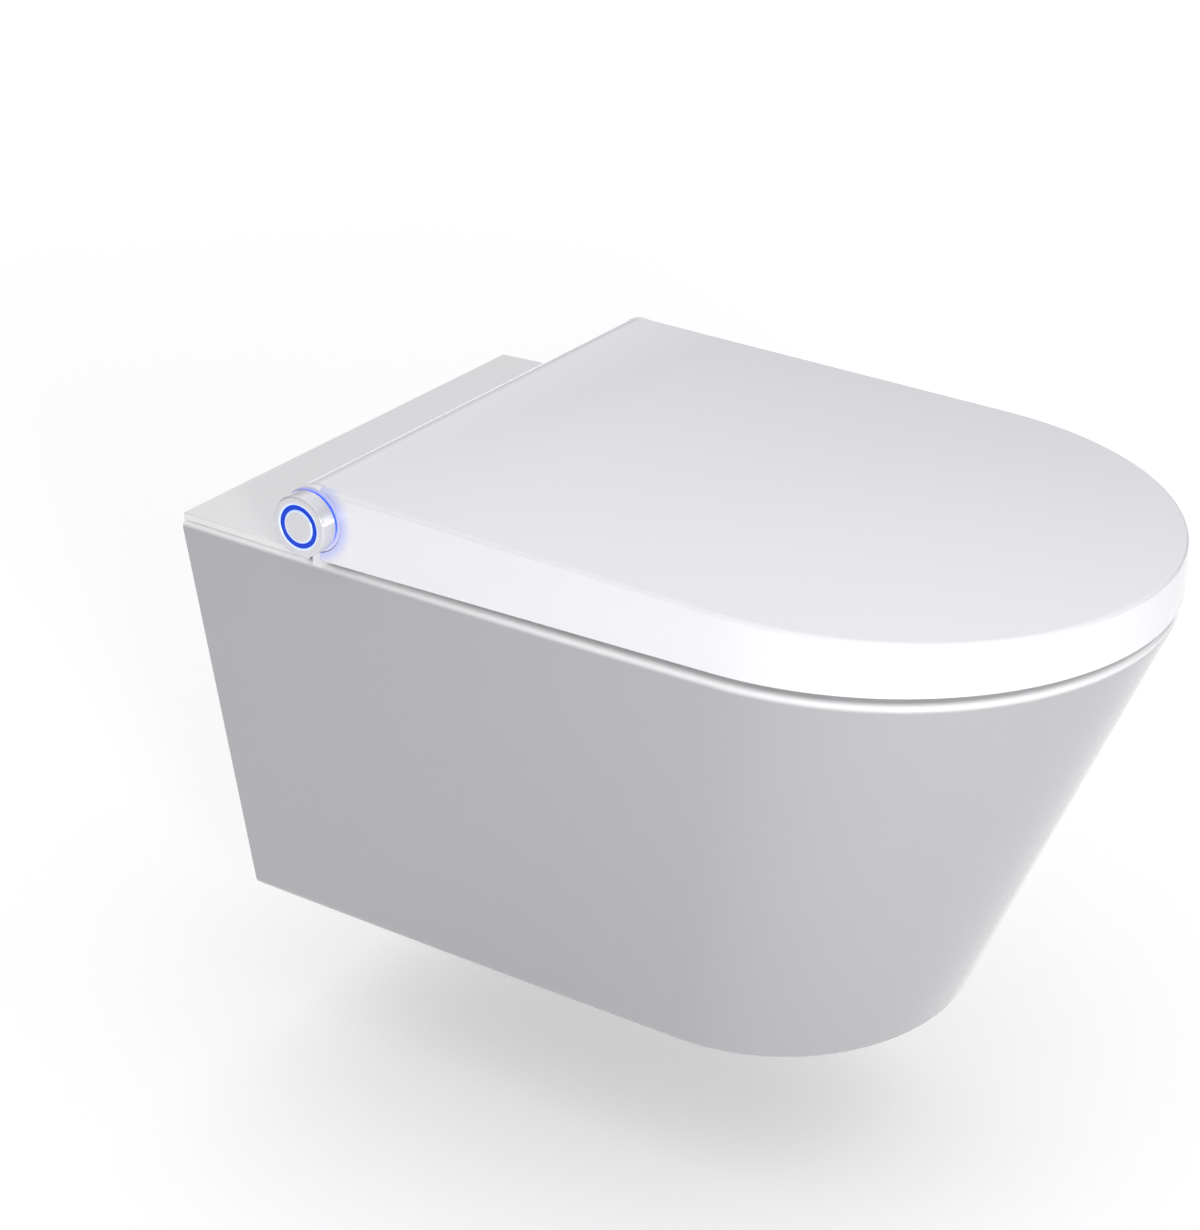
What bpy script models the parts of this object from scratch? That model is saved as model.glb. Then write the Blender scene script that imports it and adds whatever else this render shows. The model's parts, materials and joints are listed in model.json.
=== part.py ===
"""Wall-hung toilet with an electric bidet seat: ceramic pan, seat unit, seat, lid and side knob.

Units are metres, +Z up. The wall is the plane Y = 0 and the front points to -Y, so +X is on the
right of a person who faces the wall. The origin is on the wall, midway between the two fixing
studs. "Left" below is -X and "right" is +X.
"""
import math

import bmesh
import bpy
from mathutils import Matrix, Vector

# Clearances
GAP = 0.0003              # between two pieces that touch
RUNNING_GAP = 0.0005      # round a turning or sliding piece

# Ceramic pan
RIM_Z = 0.115             # top of the rim, above the studs
PAN_HEIGHT = 0.300
TOP_HALF_WIDTH = 0.190    # at the widest place of the rim
TOP_HALF_WALL = 0.180     # at the wall
TOP_WIDEST_Y = -0.407
TOP_FRONT_Y = -0.600
FOOT_HALF_WIDTH = 0.131   # the same four sizes at the bottom
FOOT_HALF_WALL = 0.128
FOOT_WIDEST_Y = -0.352
FOOT_FRONT_Y = -0.479
RIM_ROUND = 0.006
FOOT_ROUND = 0.007
PAN_WALL = 0.012
BACK_WALL = 0.014
GLAZE_WALL = 0.009        # wall of the bowl and trap
FLUSH_WALL = 0.007

# Bowl
BOWL_HALF_WIDTH = 0.135
BOWL_REAR_Y = -0.215
BOWL_FRONT_Y = -0.560
BOWL_EDGE_ROUND = 0.004
SUMP_HALF_WIDTH = 0.038
SUMP_REAR_Y = -0.185
SUMP_FRONT_Y = -0.285
SUMP_Z = -0.125

# Wall connections
STUD_SPACING = 0.180
STUD_HOLE_RADIUS = 0.0065
SLEEVE_WALL = 0.0025
SLEEVE_LENGTH = 0.055
SLEEVE_HEAD = 0.004
FLUSH_Z = 0.035
FLUSH_RADIUS = 0.0275
WASTE_Z = -0.100
WASTE_RADIUS = 0.043
WASTE_SOCKET = 0.032
TRAP_RADIUS = 0.027
BACK_WINDOW = (0.064, 0.108, -0.150, -0.036)   # x from, x to, z from, z to
SUPPLY_X = 0.110          # water inlet on the left, cable gland on the right
SUPPLY_Z = 0.085
SUPPLY_RADIUS = 0.014

# Technical compartment in the pan, and the seat unit's tray in it
BAY_HALF_WIDTH = 0.150
BAY_REAR_Y = -BACK_WALL
BAY_FRONT_Y = -0.185
BAY_FLOOR_Z = 0.071
WELL_INNER_X = 0.062
WELL_FRONT_Y = -0.150
WELL_FLOOR_Z = 0.030
BAY_WALL = 0.008
NOTCH_HALF_WIDTH = 0.060
REBATE_HALF_WIDTH = 0.170
REBATE_REAR_Y = -0.005
REBATE_FRONT_Y = -0.200
REBATE_DEPTH = 0.0045
TRAY_WALL = 0.0025
GASKET = 0.001
FLANGE = 0.0025
FLANGE_TOP_Z = RIM_Z - REBATE_DEPTH + GAP + GASKET + GAP + FLANGE
NOSE_FRONT_Y = -0.211
PLUG_X = 0.1635
PLUG_Y = -0.172
PLUG_RADIUS = 0.005
PLUG_LENGTH = 0.020
BOLT_RADIUS = 0.0022

# Covers
SHELF_HEIGHT = 0.0055
SHELF_INSET = 0.0015
SHELF_FRONT_Y = -0.108
COVER_HEIGHT = 0.0045
COVER_FRONT_Y = -0.205
COVER_HALF_WIDTH = 0.150
COVER_WALL = 0.0022

# Hinge axis, shared by the seat, the lid and the knob
HINGE_Y = -0.118
HINGE_Z = RIM_Z + 0.032
BARREL_RADIUS = 0.0214
BOSS_INNER_X = 0.183
BOSS_OUTER_X = 0.189
BOSS_SKIN = 0.0012        # closes the boss over the end of its pin
BOSS_FOOT_FRONT = 0.004   # before the axis
BOSS_FOOT_REAR = 0.002    # behind the axis
PIN_RADIUS = 0.008
PIN_INNER_X = 0.090
DAMPER_RADIUS = 0.014
DAMPER_INNER_X = 0.114
DAMPER_OUTER_X = 0.166

# Lid
LID_HALF_WIDTH = 0.1895
LID_FRONT_Y = -0.600
LID_EDGE_Z = RIM_Z + 0.005
LID_FRONT_TOP_Z = RIM_Z + 0.0368
LID_WALL = 0.003
LID_EDGE_ROUND = 0.0025
LID_EAR = 0.0055
BARREL_END_ANGLE = math.radians(-42)
LID_BUMPER_RADIUS = 0.006
LID_BUMPERS = ((0.142, -0.330), (0.105, -0.528))

# Seat
SEAT_HALF_WIDTH = 0.182
SEAT_REAR_Y = -0.141
SEAT_FRONT_Y = -0.594
SEAT_BOTTOM_Z = RIM_Z + 0.006
SEAT_TOP_Z = RIM_Z + 0.026
SEAT_PLATE = 0.003
SEAT_WALL = 0.003
SEAT_ROUND = 0.007
HOLE_HALF_WIDTH = 0.105
HOLE_REAR_Y = -0.245
HOLE_FRONT_Y = -0.525
SEAT_EAR_INNER_X = 0.095
SEAT_EAR_OUTER_X = 0.107
SEAT_EYE_RADIUS = 0.013
SEAT_BUMPER_RADIUS = 0.009
SEAT_BUMPERS = ((0.158, -0.300), (0.120, -0.520))

# Side knob, outside the left boss
KNOB_RADIUS = 0.020
KNOB_WALL = 0.0024
KNOB_FACE_X = -0.2037
KNOB_COLLAR = 0.002
KNOB_COLLAR_RADIUS = BARREL_RADIUS - 0.0022
ENCODER_RADIUS = 0.008
BUTTON_HEIGHT = 0.0032
LIGHT_OUTER_RADIUS = 0.014
LIGHT_INNER_RADIUS = 0.0113
LIGHT_DEPTH = 0.0028
BUTTON_TRAVEL = 0.0015
POINTER_ANGLE = math.radians(15)   # above the forward direction
POINTER_WIDTH = 0.0013

# Wash nozzle and its drive
NOZZLE_X = -0.022
NOZZLE_SLOPE = math.radians(8)
NOZZLE_RADIUS = 0.006
NOZZLE_TIP_Y = -0.190
NOZZLE_TIP_Z = RIM_Z - 0.0285
NOZZLE_LENGTH = 0.145
NOZZLE_TRAVEL = 0.100
NOZZLE_PORT_RADIUS = 0.0085
NOZZLE_HEAD = 0.026        # length of the tip that carries the spray holes
GUIDE_WALL = 0.0014
SEAL_DEPTH = 0.0018
NOZZLE_FRAME = (
    Matrix.Translation((NOZZLE_X, NOZZLE_TIP_Y, NOZZLE_TIP_Z)) @ Matrix.Rotation(NOZZLE_SLOPE, 4, "X")
)
TOOTH_MODULE = 0.0015
PINION_TEETH = 12
RACK_DEPTH = 0.0036       # from the nozzle's side to the pitch line
PITCH_RADIUS = TOOTH_MODULE * PINION_TEETH / 2
PITCH = math.pi * TOOTH_MODULE
TOOTH_SHARE = 0.40        # of the pitch, which leaves play on both flanks
ADDENDUM = 0.7 * TOOTH_MODULE
DEDENDUM = 1.1 * TOOTH_MODULE
PRESSURE_ANGLE = math.radians(20)
PINION_X = NOZZLE_RADIUS + RACK_DEPTH + PITCH_RADIUS
PINION_BACK = 0.036       # behind the nozzle's tip
GEAR_HALF_WIDTH = 0.0022

# Dryer
DRYER_LOW = Vector((0.008, 0, RIM_Z - 0.034))     # opening in the nose
DRYER_HIGH = Vector((0.048, 0, RIM_Z - 0.012))
FLAP_LUG = 0.003
FLAP_LUG_HALF = 0.0022
FLAP_PIN_RADIUS = 0.001
FLAP_AXIS = Vector(((DRYER_LOW.x + DRYER_HIGH.x) / 2, NOSE_FRONT_Y - 0.003, RIM_Z - 0.0085))
BLOWER = Vector((0.104, -0.092, 0))
BLOWER_LOW_Z = RIM_Z - 0.039
BLOWER_HIGH_Z = RIM_Z - 0.013
BLOWER_RADIUS = 0.033
BLOWER_WALL = 0.0018
BLOWER_INTAKE_RADIUS = 0.016
BLOWER_MOTOR_RADIUS = 0.014
BLOWER_MOTOR_LENGTH = 0.024
IMPELLER_RADIUS = 0.026
BLADES = 12
BLADE_ROOT = 0.016        # from the fan's axis to a blade's inner edge
BLADE_HALF = 0.0006
SHAFT_RADIUS = 0.0015
DUCT_WALL = 0.0016

# Water and electrics
FITTING_LENGTH = 0.030
FITTING_BORE = 0.005
HEATER_LOW = Vector((-0.143, -0.144, WELL_FLOOR_Z + 0.006))
HEATER_HIGH = Vector((-0.070, -0.078, RIM_Z - 0.035))
HEATER_OUTLET = Vector((-0.090, -0.120, HEATER_HIGH.z))
VALVE_LOW = Vector((-0.126, -0.052, RIM_Z - 0.043))
VALVE_HIGH = Vector((-0.094, -0.031, RIM_Z - 0.017))
COIL_RADIUS = 0.008
PUMP_RADIUS = 0.012
PUMP_Y = -0.0635
PUMP_Z = WELL_FLOOR_Z + 0.020
HOSE_RADIUS = 0.003
BOARD_Z = BAY_FLOOR_Z + 0.007
BOARD_THICKNESS = 0.0016

SIDES = 32                # round pieces
ARC_STEPS = 16            # half of an oval outline
SEAM = 0.0002             # one solid sunk into another that it is joined to

for leftover in list(bpy.data.objects):
    bpy.data.objects.remove(leftover, do_unlink=True)

parts = bpy.data.collections.new("electric_bidet_seat")
cutters = bpy.data.collections.new("cutters")
for collection in (parts, cutters):
    bpy.context.scene.collection.children.link(collection)


# ---------------------------------------------------------------- finishes
def finish(name, colour, roughness, metallic=0.0, glow=0.0):
    material = bpy.data.materials.new(name)
    material.use_nodes = True
    shader = material.node_tree.nodes["Principled BSDF"]
    shader.inputs["Base Color"].default_value = (*colour, 1.0)
    shader.inputs["Roughness"].default_value = roughness
    shader.inputs["Metallic"].default_value = metallic
    shader.inputs["Emission Color"].default_value = (*colour, 1.0)
    shader.inputs["Emission Strength"].default_value = glow
    return material


CERAMIC = finish("glazed_ceramic", (0.86, 0.87, 0.89), 0.10)
LID_WHITE = finish("lid_white", (0.88, 0.88, 0.90), 0.12)
SEAT_WHITE = finish("seat_white", (0.88, 0.88, 0.89), 0.22)
UNIT_WHITE = finish("unit_white", (0.82, 0.82, 0.83), 0.35)
PEARL = finish("knob_pearl", (0.74, 0.74, 0.76), 0.25, 0.3)
BLUE_LIGHT = finish("blue_light", (0.03, 0.12, 0.85), 0.3, 0.0, 4.0)
WHITE_LIGHT = finish("white_light", (0.9, 0.93, 1.0), 0.3, 0.0, 4.0)
STEEL = finish("steel", (0.62, 0.62, 0.63), 0.28, 1.0)
RUBBER = finish("rubber_grey", (0.18, 0.18, 0.19), 0.7)
BLACK_PLASTIC = finish("black_plastic", (0.05, 0.05, 0.055), 0.5)
GREY_PLASTIC = finish("grey_plastic", (0.42, 0.43, 0.45), 0.45)
BOARD_GREEN = finish("board_green", (0.03, 0.20, 0.08), 0.45)
BRASS = finish("brass", (0.72, 0.56, 0.28), 0.3, 1.0)
FOIL = finish("heater_foil", (0.70, 0.70, 0.72), 0.35, 1.0)
HOSE = finish("hose_clear", (0.65, 0.68, 0.72), 0.4)


# ---------------------------------------------------------------- bodies
def pivot(name, place):
    """An empty on a joint's axis, which carries the pieces that the joint moves."""
    empty = bpy.data.objects.new(name, None)
    empty.location = place
    parts.objects.link(empty)
    return empty


HINGE = Vector((0, HINGE_Y, HINGE_Z))
seat_pivot = pivot("pivot_seat", HINGE)
lid_pivot = pivot("pivot_lid", HINGE)
knob_pivot = pivot("pivot_knob", HINGE)
button_pivot = pivot("pivot_button", HINGE)
nozzle_pivot = pivot("pivot_nozzle", NOZZLE_FRAME.translation)
pinion_pivot = pivot("pivot_pinion", NOZZLE_FRAME @ Vector((PINION_X, PINION_BACK, 0)))
flap_pivot = pivot("pivot_flap", FLAP_AXIS)
fan_pivot = pivot("pivot_fan", (BLOWER.x, BLOWER.y, BLOWER_LOW_Z))


# ---------------------------------------------------------------- shapes
def add(name, mesh, material, body=None):
    """Name a mesh as a sub-part and hang it on its body's pivot."""
    obj = bpy.data.objects.new(name, mesh)
    parts.objects.link(obj)
    mesh.materials.clear()
    mesh.materials.append(material)
    mesh.shade_smooth()
    mesh.set_sharp_from_angle(angle=math.radians(35))
    if body:
        obj.parent = body
        obj.matrix_parent_inverse = Matrix.Translation(-body.location)
    return obj


def mesh_of(bm):
    bmesh.ops.recalc_face_normals(bm, faces=bm.faces)
    mesh = bpy.data.meshes.new("shape")
    bm.to_mesh(mesh)
    bm.free()
    return mesh


def box(low, high, round_by=0.0):
    """A block between two corners, its edges rounded by a bevel where asked."""
    low, high = Vector(low), Vector(high)
    bm = bmesh.new()
    place = Matrix.Translation((low + high) / 2) @ Matrix.Diagonal((*(high - low), 1))
    bmesh.ops.create_cube(bm, size=1, matrix=place)
    if round_by:
        bmesh.ops.bevel(
            bm, geom=bm.edges, offset=round_by, segments=2, profile=0.5, affect="EDGES", material=-1
        )
    return mesh_of(bm)


def rod(start, end, radius, end_radius=None, sides=SIDES):
    """A cylinder or cone between two points."""
    start, end = Vector(start), Vector(end)
    along = end - start
    place = Matrix.Translation((start + end) / 2) @ along.to_track_quat("Z", "Y").to_matrix().to_4x4()
    bm = bmesh.new()
    bmesh.ops.create_cone(
        bm, cap_ends=True, segments=sides, radius1=radius,
        radius2=radius if end_radius is None else end_radius, depth=along.length, matrix=place,
    )
    return mesh_of(bm)


def turned(profile, start, direction, sides=SIDES):
    """A closed profile of (radius, height) points turned by a Screw round an axis, as a mesh."""
    mesh = bpy.data.meshes.new("profile")
    count = len(profile)
    mesh.from_pydata([(r, 0, h) for r, h in profile], [(i, (i + 1) % count) for i in range(count)], [])
    obj = bpy.data.objects.new("profile", mesh)
    cutters.objects.link(obj)
    screw = obj.modifiers.new("turn", "SCREW")
    screw.steps = screw.render_steps = sides
    screw.use_merge_vertices = True
    screw.merge_threshold = 0.00001
    solid = bpy.data.meshes.new_from_object(obj.evaluated_get(bpy.context.evaluated_depsgraph_get()))
    bpy.data.objects.remove(obj, do_unlink=True)
    bm = bmesh.new()
    bm.from_mesh(solid)
    turn = Vector(direction).to_track_quat("Z", "Y").to_matrix().to_4x4()
    bmesh.ops.transform(bm, matrix=Matrix.Translation(start) @ turn, verts=bm.verts)
    return mesh_of(bm)


def tube(start, end, outer, inner, sides=SIDES):
    """A round tube between two points."""
    start, end = Vector(start), Vector(end)
    length = (end - start).length
    profile = [(outer, length), (outer, 0), (inner, 0), (inner, length)]
    return turned(profile, start, end - start, sides)


def loft(rings):
    """A closed solid through rings of points of one count, with flat ends."""
    bm = bmesh.new()
    loops = [[bm.verts.new(point) for point in ring] for ring in rings]
    for below, above in zip(loops, loops[1:]):
        for i in range(len(below)):
            bm.faces.new((below[i - 1], below[i], above[i], above[i - 1]))
    bm.faces.new(loops[0])
    bm.faces.new(loops[-1])
    return mesh_of(bm)


def pipe(points, radius, bevel_resolution=2):
    """A tube along a smooth curve through the given points, as a mesh with welded caps."""
    curve = bpy.data.curves.new("route", "CURVE")
    curve.dimensions = "3D"
    curve.bevel_depth = radius
    curve.bevel_resolution = bevel_resolution
    curve.use_fill_caps = True
    spline = curve.splines.new("POLY")
    route = smooth_route(points)
    spline.points.add(len(route) - 1)
    for place, point in zip(spline.points, route):
        place.co = (*point, 1)
    obj = bpy.data.objects.new("route", curve)
    cutters.objects.link(obj)
    mesh = bpy.data.meshes.new_from_object(obj.evaluated_get(bpy.context.evaluated_depsgraph_get()))
    bpy.data.objects.remove(obj, do_unlink=True)
    bm = bmesh.new()
    bm.from_mesh(mesh)
    bmesh.ops.remove_doubles(bm, verts=bm.verts, dist=0.00001)
    return mesh_of(bm)


def smooth_route(points, steps=5):
    """Points of a Catmull-Rom curve through the given ones."""
    points = [Vector(p) for p in points]
    ends = [2 * points[0] - points[1], *points, 2 * points[-1] - points[-2]]
    route = []
    for a, b, c, d in zip(ends, ends[1:], ends[2:], ends[3:]):
        for step in range(steps):
            t = step / steps
            route.append(
                0.5 * (2 * b + (c - a) * t + (2 * a - 5 * b + 4 * c - d) * t**2
                       + (3 * b - a - 3 * c + d) * t**3)
            )
    return route + [points[-1]]


def oval_front(half_rear, half_wide, rear_y, wide_y, front_y, z, inset=0.0):
    """A D-shaped ring at one height: sides that widen from the rear, and a half-oval front.

    z is a number or a function of y. The rear edge stays in place when the ring is inset.
    """
    height = z if callable(z) else lambda y: z
    side_steps = 8
    side = []
    for step in range(side_steps):
        y = rear_y + (wide_y - rear_y) * step / side_steps
        share = ((y - wide_y) / (rear_y - wide_y)) ** 2
        side.append((half_wide - (half_wide - half_rear) * share - inset, y))
    arc = []
    for step in range(2 * ARC_STEPS + 1):
        angle = math.pi * step / (2 * ARC_STEPS)
        arc.append((
            -(half_wide - inset) * math.cos(angle),
            wide_y - (wide_y - front_y - inset) * math.sin(angle),
        ))
    flat = [(-x, y) for x, y in side] + arc + list(reversed(side))
    return [Vector((x, y, height(y))) for x, y in flat]


def egg(half_width, rear_y, front_y, z, grow=0.0):
    """An oval ring at one height."""
    middle, half_length = (rear_y + front_y) / 2, (rear_y - front_y) / 2 + grow
    ring = []
    for step in range(2 * ARC_STEPS):
        angle = math.pi * step / ARC_STEPS
        ring.append(Vector((
            (half_width + grow) * math.cos(angle), middle + half_length * math.sin(angle), z
        )))
    return ring


def rounded(radius, steps=3):
    """(inset, drop) pairs round a quarter circle, from the side of an edge to its top."""
    angles = [math.pi / 2 * step / steps for step in range(steps + 1)]
    return [(radius * (1 - math.cos(a)), radius * (1 - math.sin(a))) for a in angles]


def carve(obj, mesh, operation="DIFFERENCE"):
    """Cut a mesh out of a piece, or join it on, with a Boolean."""
    tool = bpy.data.objects.new(f"{obj.name}_tool", mesh)
    tool.hide_render = True
    tool.display_type = "WIRE"
    cutters.objects.link(tool)
    boolean = obj.modifiers.new("boolean", "BOOLEAN")
    boolean.operation = operation
    boolean.solver = "EXACT"
    boolean.object = tool
    return obj


def join(obj, mesh):
    return carve(obj, mesh, "UNION")


def mirror_x(x, side):
    """Two x values in rising order, on the right for side 1 and on the left for side -1."""
    return sorted((side * x[0], side * x[1]))


def side_box(x, y, z, side, round_by=0.0):
    """A block between x, y and z pairs, with x on the given side."""
    xs = mirror_x(x, side)
    return box((xs[0], min(y), min(z)), (xs[1], max(y), max(z)), round_by)


def in_nozzle_frame(mesh):
    """Place a mesh whose +Y runs back along the nozzle from its tip."""
    mesh.transform(NOZZLE_FRAME)
    return mesh


SIDE_NAMES = ((-1, "left"), (1, "right"))


# ---------------------------------------------------------------- ceramic pan
def pan_ring(z, inset=0.0, rear_y=0.0):
    share = (z - (RIM_Z - PAN_HEIGHT)) / PAN_HEIGHT

    def between(foot, top):
        return foot + (top - foot) * share

    return oval_front(
        between(FOOT_HALF_WALL, TOP_HALF_WALL), between(FOOT_HALF_WIDTH, TOP_HALF_WIDTH), rear_y,
        between(FOOT_WIDEST_Y, TOP_WIDEST_Y), between(FOOT_FRONT_Y, TOP_FRONT_Y), z, inset,
    )


def bowl_rings(grow=0.0):
    """Rings of the bowl from the sump up to the rim."""
    steps = 9
    rings = []
    for step in range(steps + 1):
        depth = 1 - step / steps
        open_share = (1 - depth**2.2) ** 0.75
        rings.append(egg(
            SUMP_HALF_WIDTH + (BOWL_HALF_WIDTH - SUMP_HALF_WIDTH) * open_share,
            SUMP_REAR_Y + (BOWL_REAR_Y - SUMP_REAR_Y) * open_share,
            SUMP_FRONT_Y + (BOWL_FRONT_Y - SUMP_FRONT_Y) * open_share,
            RIM_Z + (SUMP_Z - RIM_Z) * depth, grow,
        ))
    return rings


def trap_route(wall_y):
    return [
        (0, -0.225, SUMP_Z + 0.034), (0, -0.180, SUMP_Z + 0.036), (0, -0.135, WASTE_Z + 0.038),
        (0, -0.090, WASTE_Z + 0.022), (0, -0.060, WASTE_Z), (0, wall_y, WASTE_Z),
    ]


def make_pan():
    foot_z = RIM_Z - PAN_HEIGHT
    rings = [pan_ring(foot_z + drop, inset) for inset, drop in reversed(rounded(FOOT_ROUND))]
    rings += [pan_ring(RIM_Z - drop, inset) for inset, drop in rounded(RIM_ROUND)]
    pan = add("ceramic_pan", loft(rings), CERAMIC)
    hollow_low, hollow_high = foot_z + PAN_WALL, RIM_Z - PAN_WALL
    carve(pan, loft([
        pan_ring(hollow_low, PAN_WALL, -BACK_WALL), pan_ring(hollow_high, PAN_WALL, -BACK_WALL)
    ]))
    # solid bodies inside the hollow
    back = -BACK_WALL / 2
    body = bowl_rings(GLAZE_WALL)
    body[0] = [p - Vector((0, 0, GLAZE_WALL)) for p in body[0]]
    body[-1] = [Vector((p.x, p.y, RIM_Z - PAN_WALL / 2)) for p in body[-1]]
    join(pan, loft(body))
    join(pan, pipe(trap_route(back), TRAP_RADIUS + GLAZE_WALL, 4))
    socket_end = -WASTE_SOCKET - GLAZE_WALL
    join(pan, rod((0, back + SEAM, WASTE_Z), (0, socket_end, WASTE_Z), WASTE_RADIUS + GLAZE_WALL))
    flush = FLUSH_RADIUS + FLUSH_WALL
    join(pan, rod((0, back - SEAM, FLUSH_Z), (0, BOWL_REAR_Y, FLUSH_Z), flush))
    bay_x, bay_top = BAY_HALF_WIDTH + BAY_WALL, RIM_Z - PAN_WALL / 2 - SEAM
    join(pan, box(
        (-bay_x, BAY_FRONT_Y - BAY_WALL, BAY_FLOOR_Z - BAY_WALL), (bay_x, back + 2 * SEAM, bay_top)
    ))
    for side, _ in SIDE_NAMES:
        join(pan, side_box(
            (WELL_INNER_X - BAY_WALL, bay_x - SEAM), (WELL_FRONT_Y - BAY_WALL, back + 3 * SEAM),
            (WELL_FLOOR_Z - BAY_WALL, bay_top - SEAM), side,
        ))
        stud_x = side * STUD_SPACING / 2
        sleeve = STUD_HOLE_RADIUS + SLEEVE_WALL + GAP
        join(pan, rod((stud_x, back - 2 * SEAM, 0), (stud_x, -SLEEVE_LENGTH, 0), sleeve + GLAZE_WALL))
    # openings
    flare = bowl_rings()
    edge = [egg(BOWL_HALF_WIDTH, BOWL_REAR_Y, BOWL_FRONT_Y, RIM_Z - BOWL_EDGE_ROUND + step, grow)
            for step, grow in ((0, 0), (0.002, 0.0006), (0.0035, 0.002), (0.0042, 0.0045), (0.02, 0.0045))]
    carve(pan, loft(flare[:-1] + edge))
    carve(pan, pipe(trap_route(-WASTE_SOCKET / 2), TRAP_RADIUS, 4))
    carve(pan, rod((0, 0.01, WASTE_Z), (0, -WASTE_SOCKET, WASTE_Z), WASTE_RADIUS))
    carve(pan, rod((0, 0.01, FLUSH_Z), (0, BOWL_REAR_Y - 0.02, FLUSH_Z), FLUSH_RADIUS))
    above = RIM_Z + 0.01
    carve(pan, box((-BAY_HALF_WIDTH, BAY_FRONT_Y, BAY_FLOOR_Z), (BAY_HALF_WIDTH, BAY_REAR_Y, above)))
    carve(pan, box(
        (-REBATE_HALF_WIDTH, REBATE_FRONT_Y, RIM_Z - REBATE_DEPTH),
        (REBATE_HALF_WIDTH, REBATE_REAR_Y, above),
    ))
    carve(pan, box(
        (-NOTCH_HALF_WIDTH, BOWL_REAR_Y - 0.05, BAY_FLOOR_Z), (NOTCH_HALF_WIDTH, BAY_FRONT_Y + 0.01, above)
    ))
    for side, _ in SIDE_NAMES:
        carve(pan, side_box(
            (WELL_INNER_X, BAY_HALF_WIDTH), (WELL_FRONT_Y, BAY_REAR_Y), (WELL_FLOOR_Z, above), side
        ))
        stud_x = side * STUD_SPACING / 2
        hole = STUD_HOLE_RADIUS + SLEEVE_WALL + GAP
        carve(pan, rod((stud_x, 0.01, 0), (stud_x, -SLEEVE_LENGTH - 0.03, 0), hole))
        carve(pan, rod((stud_x, 0.01, 0), (stud_x, -SLEEVE_HEAD - 2 * GAP, 0), hole + 0.003))
        x_from, x_to, z_from, z_to = BACK_WINDOW
        carve(pan, side_box((x_from, x_to), (-BACK_WALL - 0.01, 0.01), (z_from, z_to), side))
        supply_x = side * SUPPLY_X
        carve(pan, rod((supply_x, 0.01, SUPPLY_Z), (supply_x, BAY_REAR_Y - 0.01, SUPPLY_Z), SUPPLY_RADIUS))
        plug_x, plug_end = side * PLUG_X, RIM_Z - PLUG_LENGTH - 0.01
        carve(pan, rod((plug_x, PLUG_Y, above), (plug_x, PLUG_Y, plug_end), PLUG_RADIUS + GAP))
    return pan


# ---------------------------------------------------------------- seat unit: tray and covers
def make_sleeves():
    for side, word in SIDE_NAMES:
        x = side * STUD_SPACING / 2
        inner, outer = STUD_HOLE_RADIUS, STUD_HOLE_RADIUS + SLEEVE_WALL
        profile = [
            (outer, SLEEVE_LENGTH), (outer, SLEEVE_HEAD), (outer + 0.003, SLEEVE_HEAD - GAP),
            (outer + 0.003, 0), (inner, 0), (inner, SLEEVE_LENGTH),
        ]
        add(f"fixing_sleeve_{word}", turned(profile, (x, -GAP, 0), (0, -1, 0), 24), GREY_PLASTIC)


def rack_slot():
    """Room for the toothed bar beside the nozzle, where both pass through the nose."""
    reach = NOZZLE_RADIUS + RACK_DEPTH + ADDENDUM + RUNNING_GAP
    half = GEAR_HALF_WIDTH + RUNNING_GAP
    return in_nozzle_frame(box((0, -0.05, -half), (reach, 0, half)))


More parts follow.
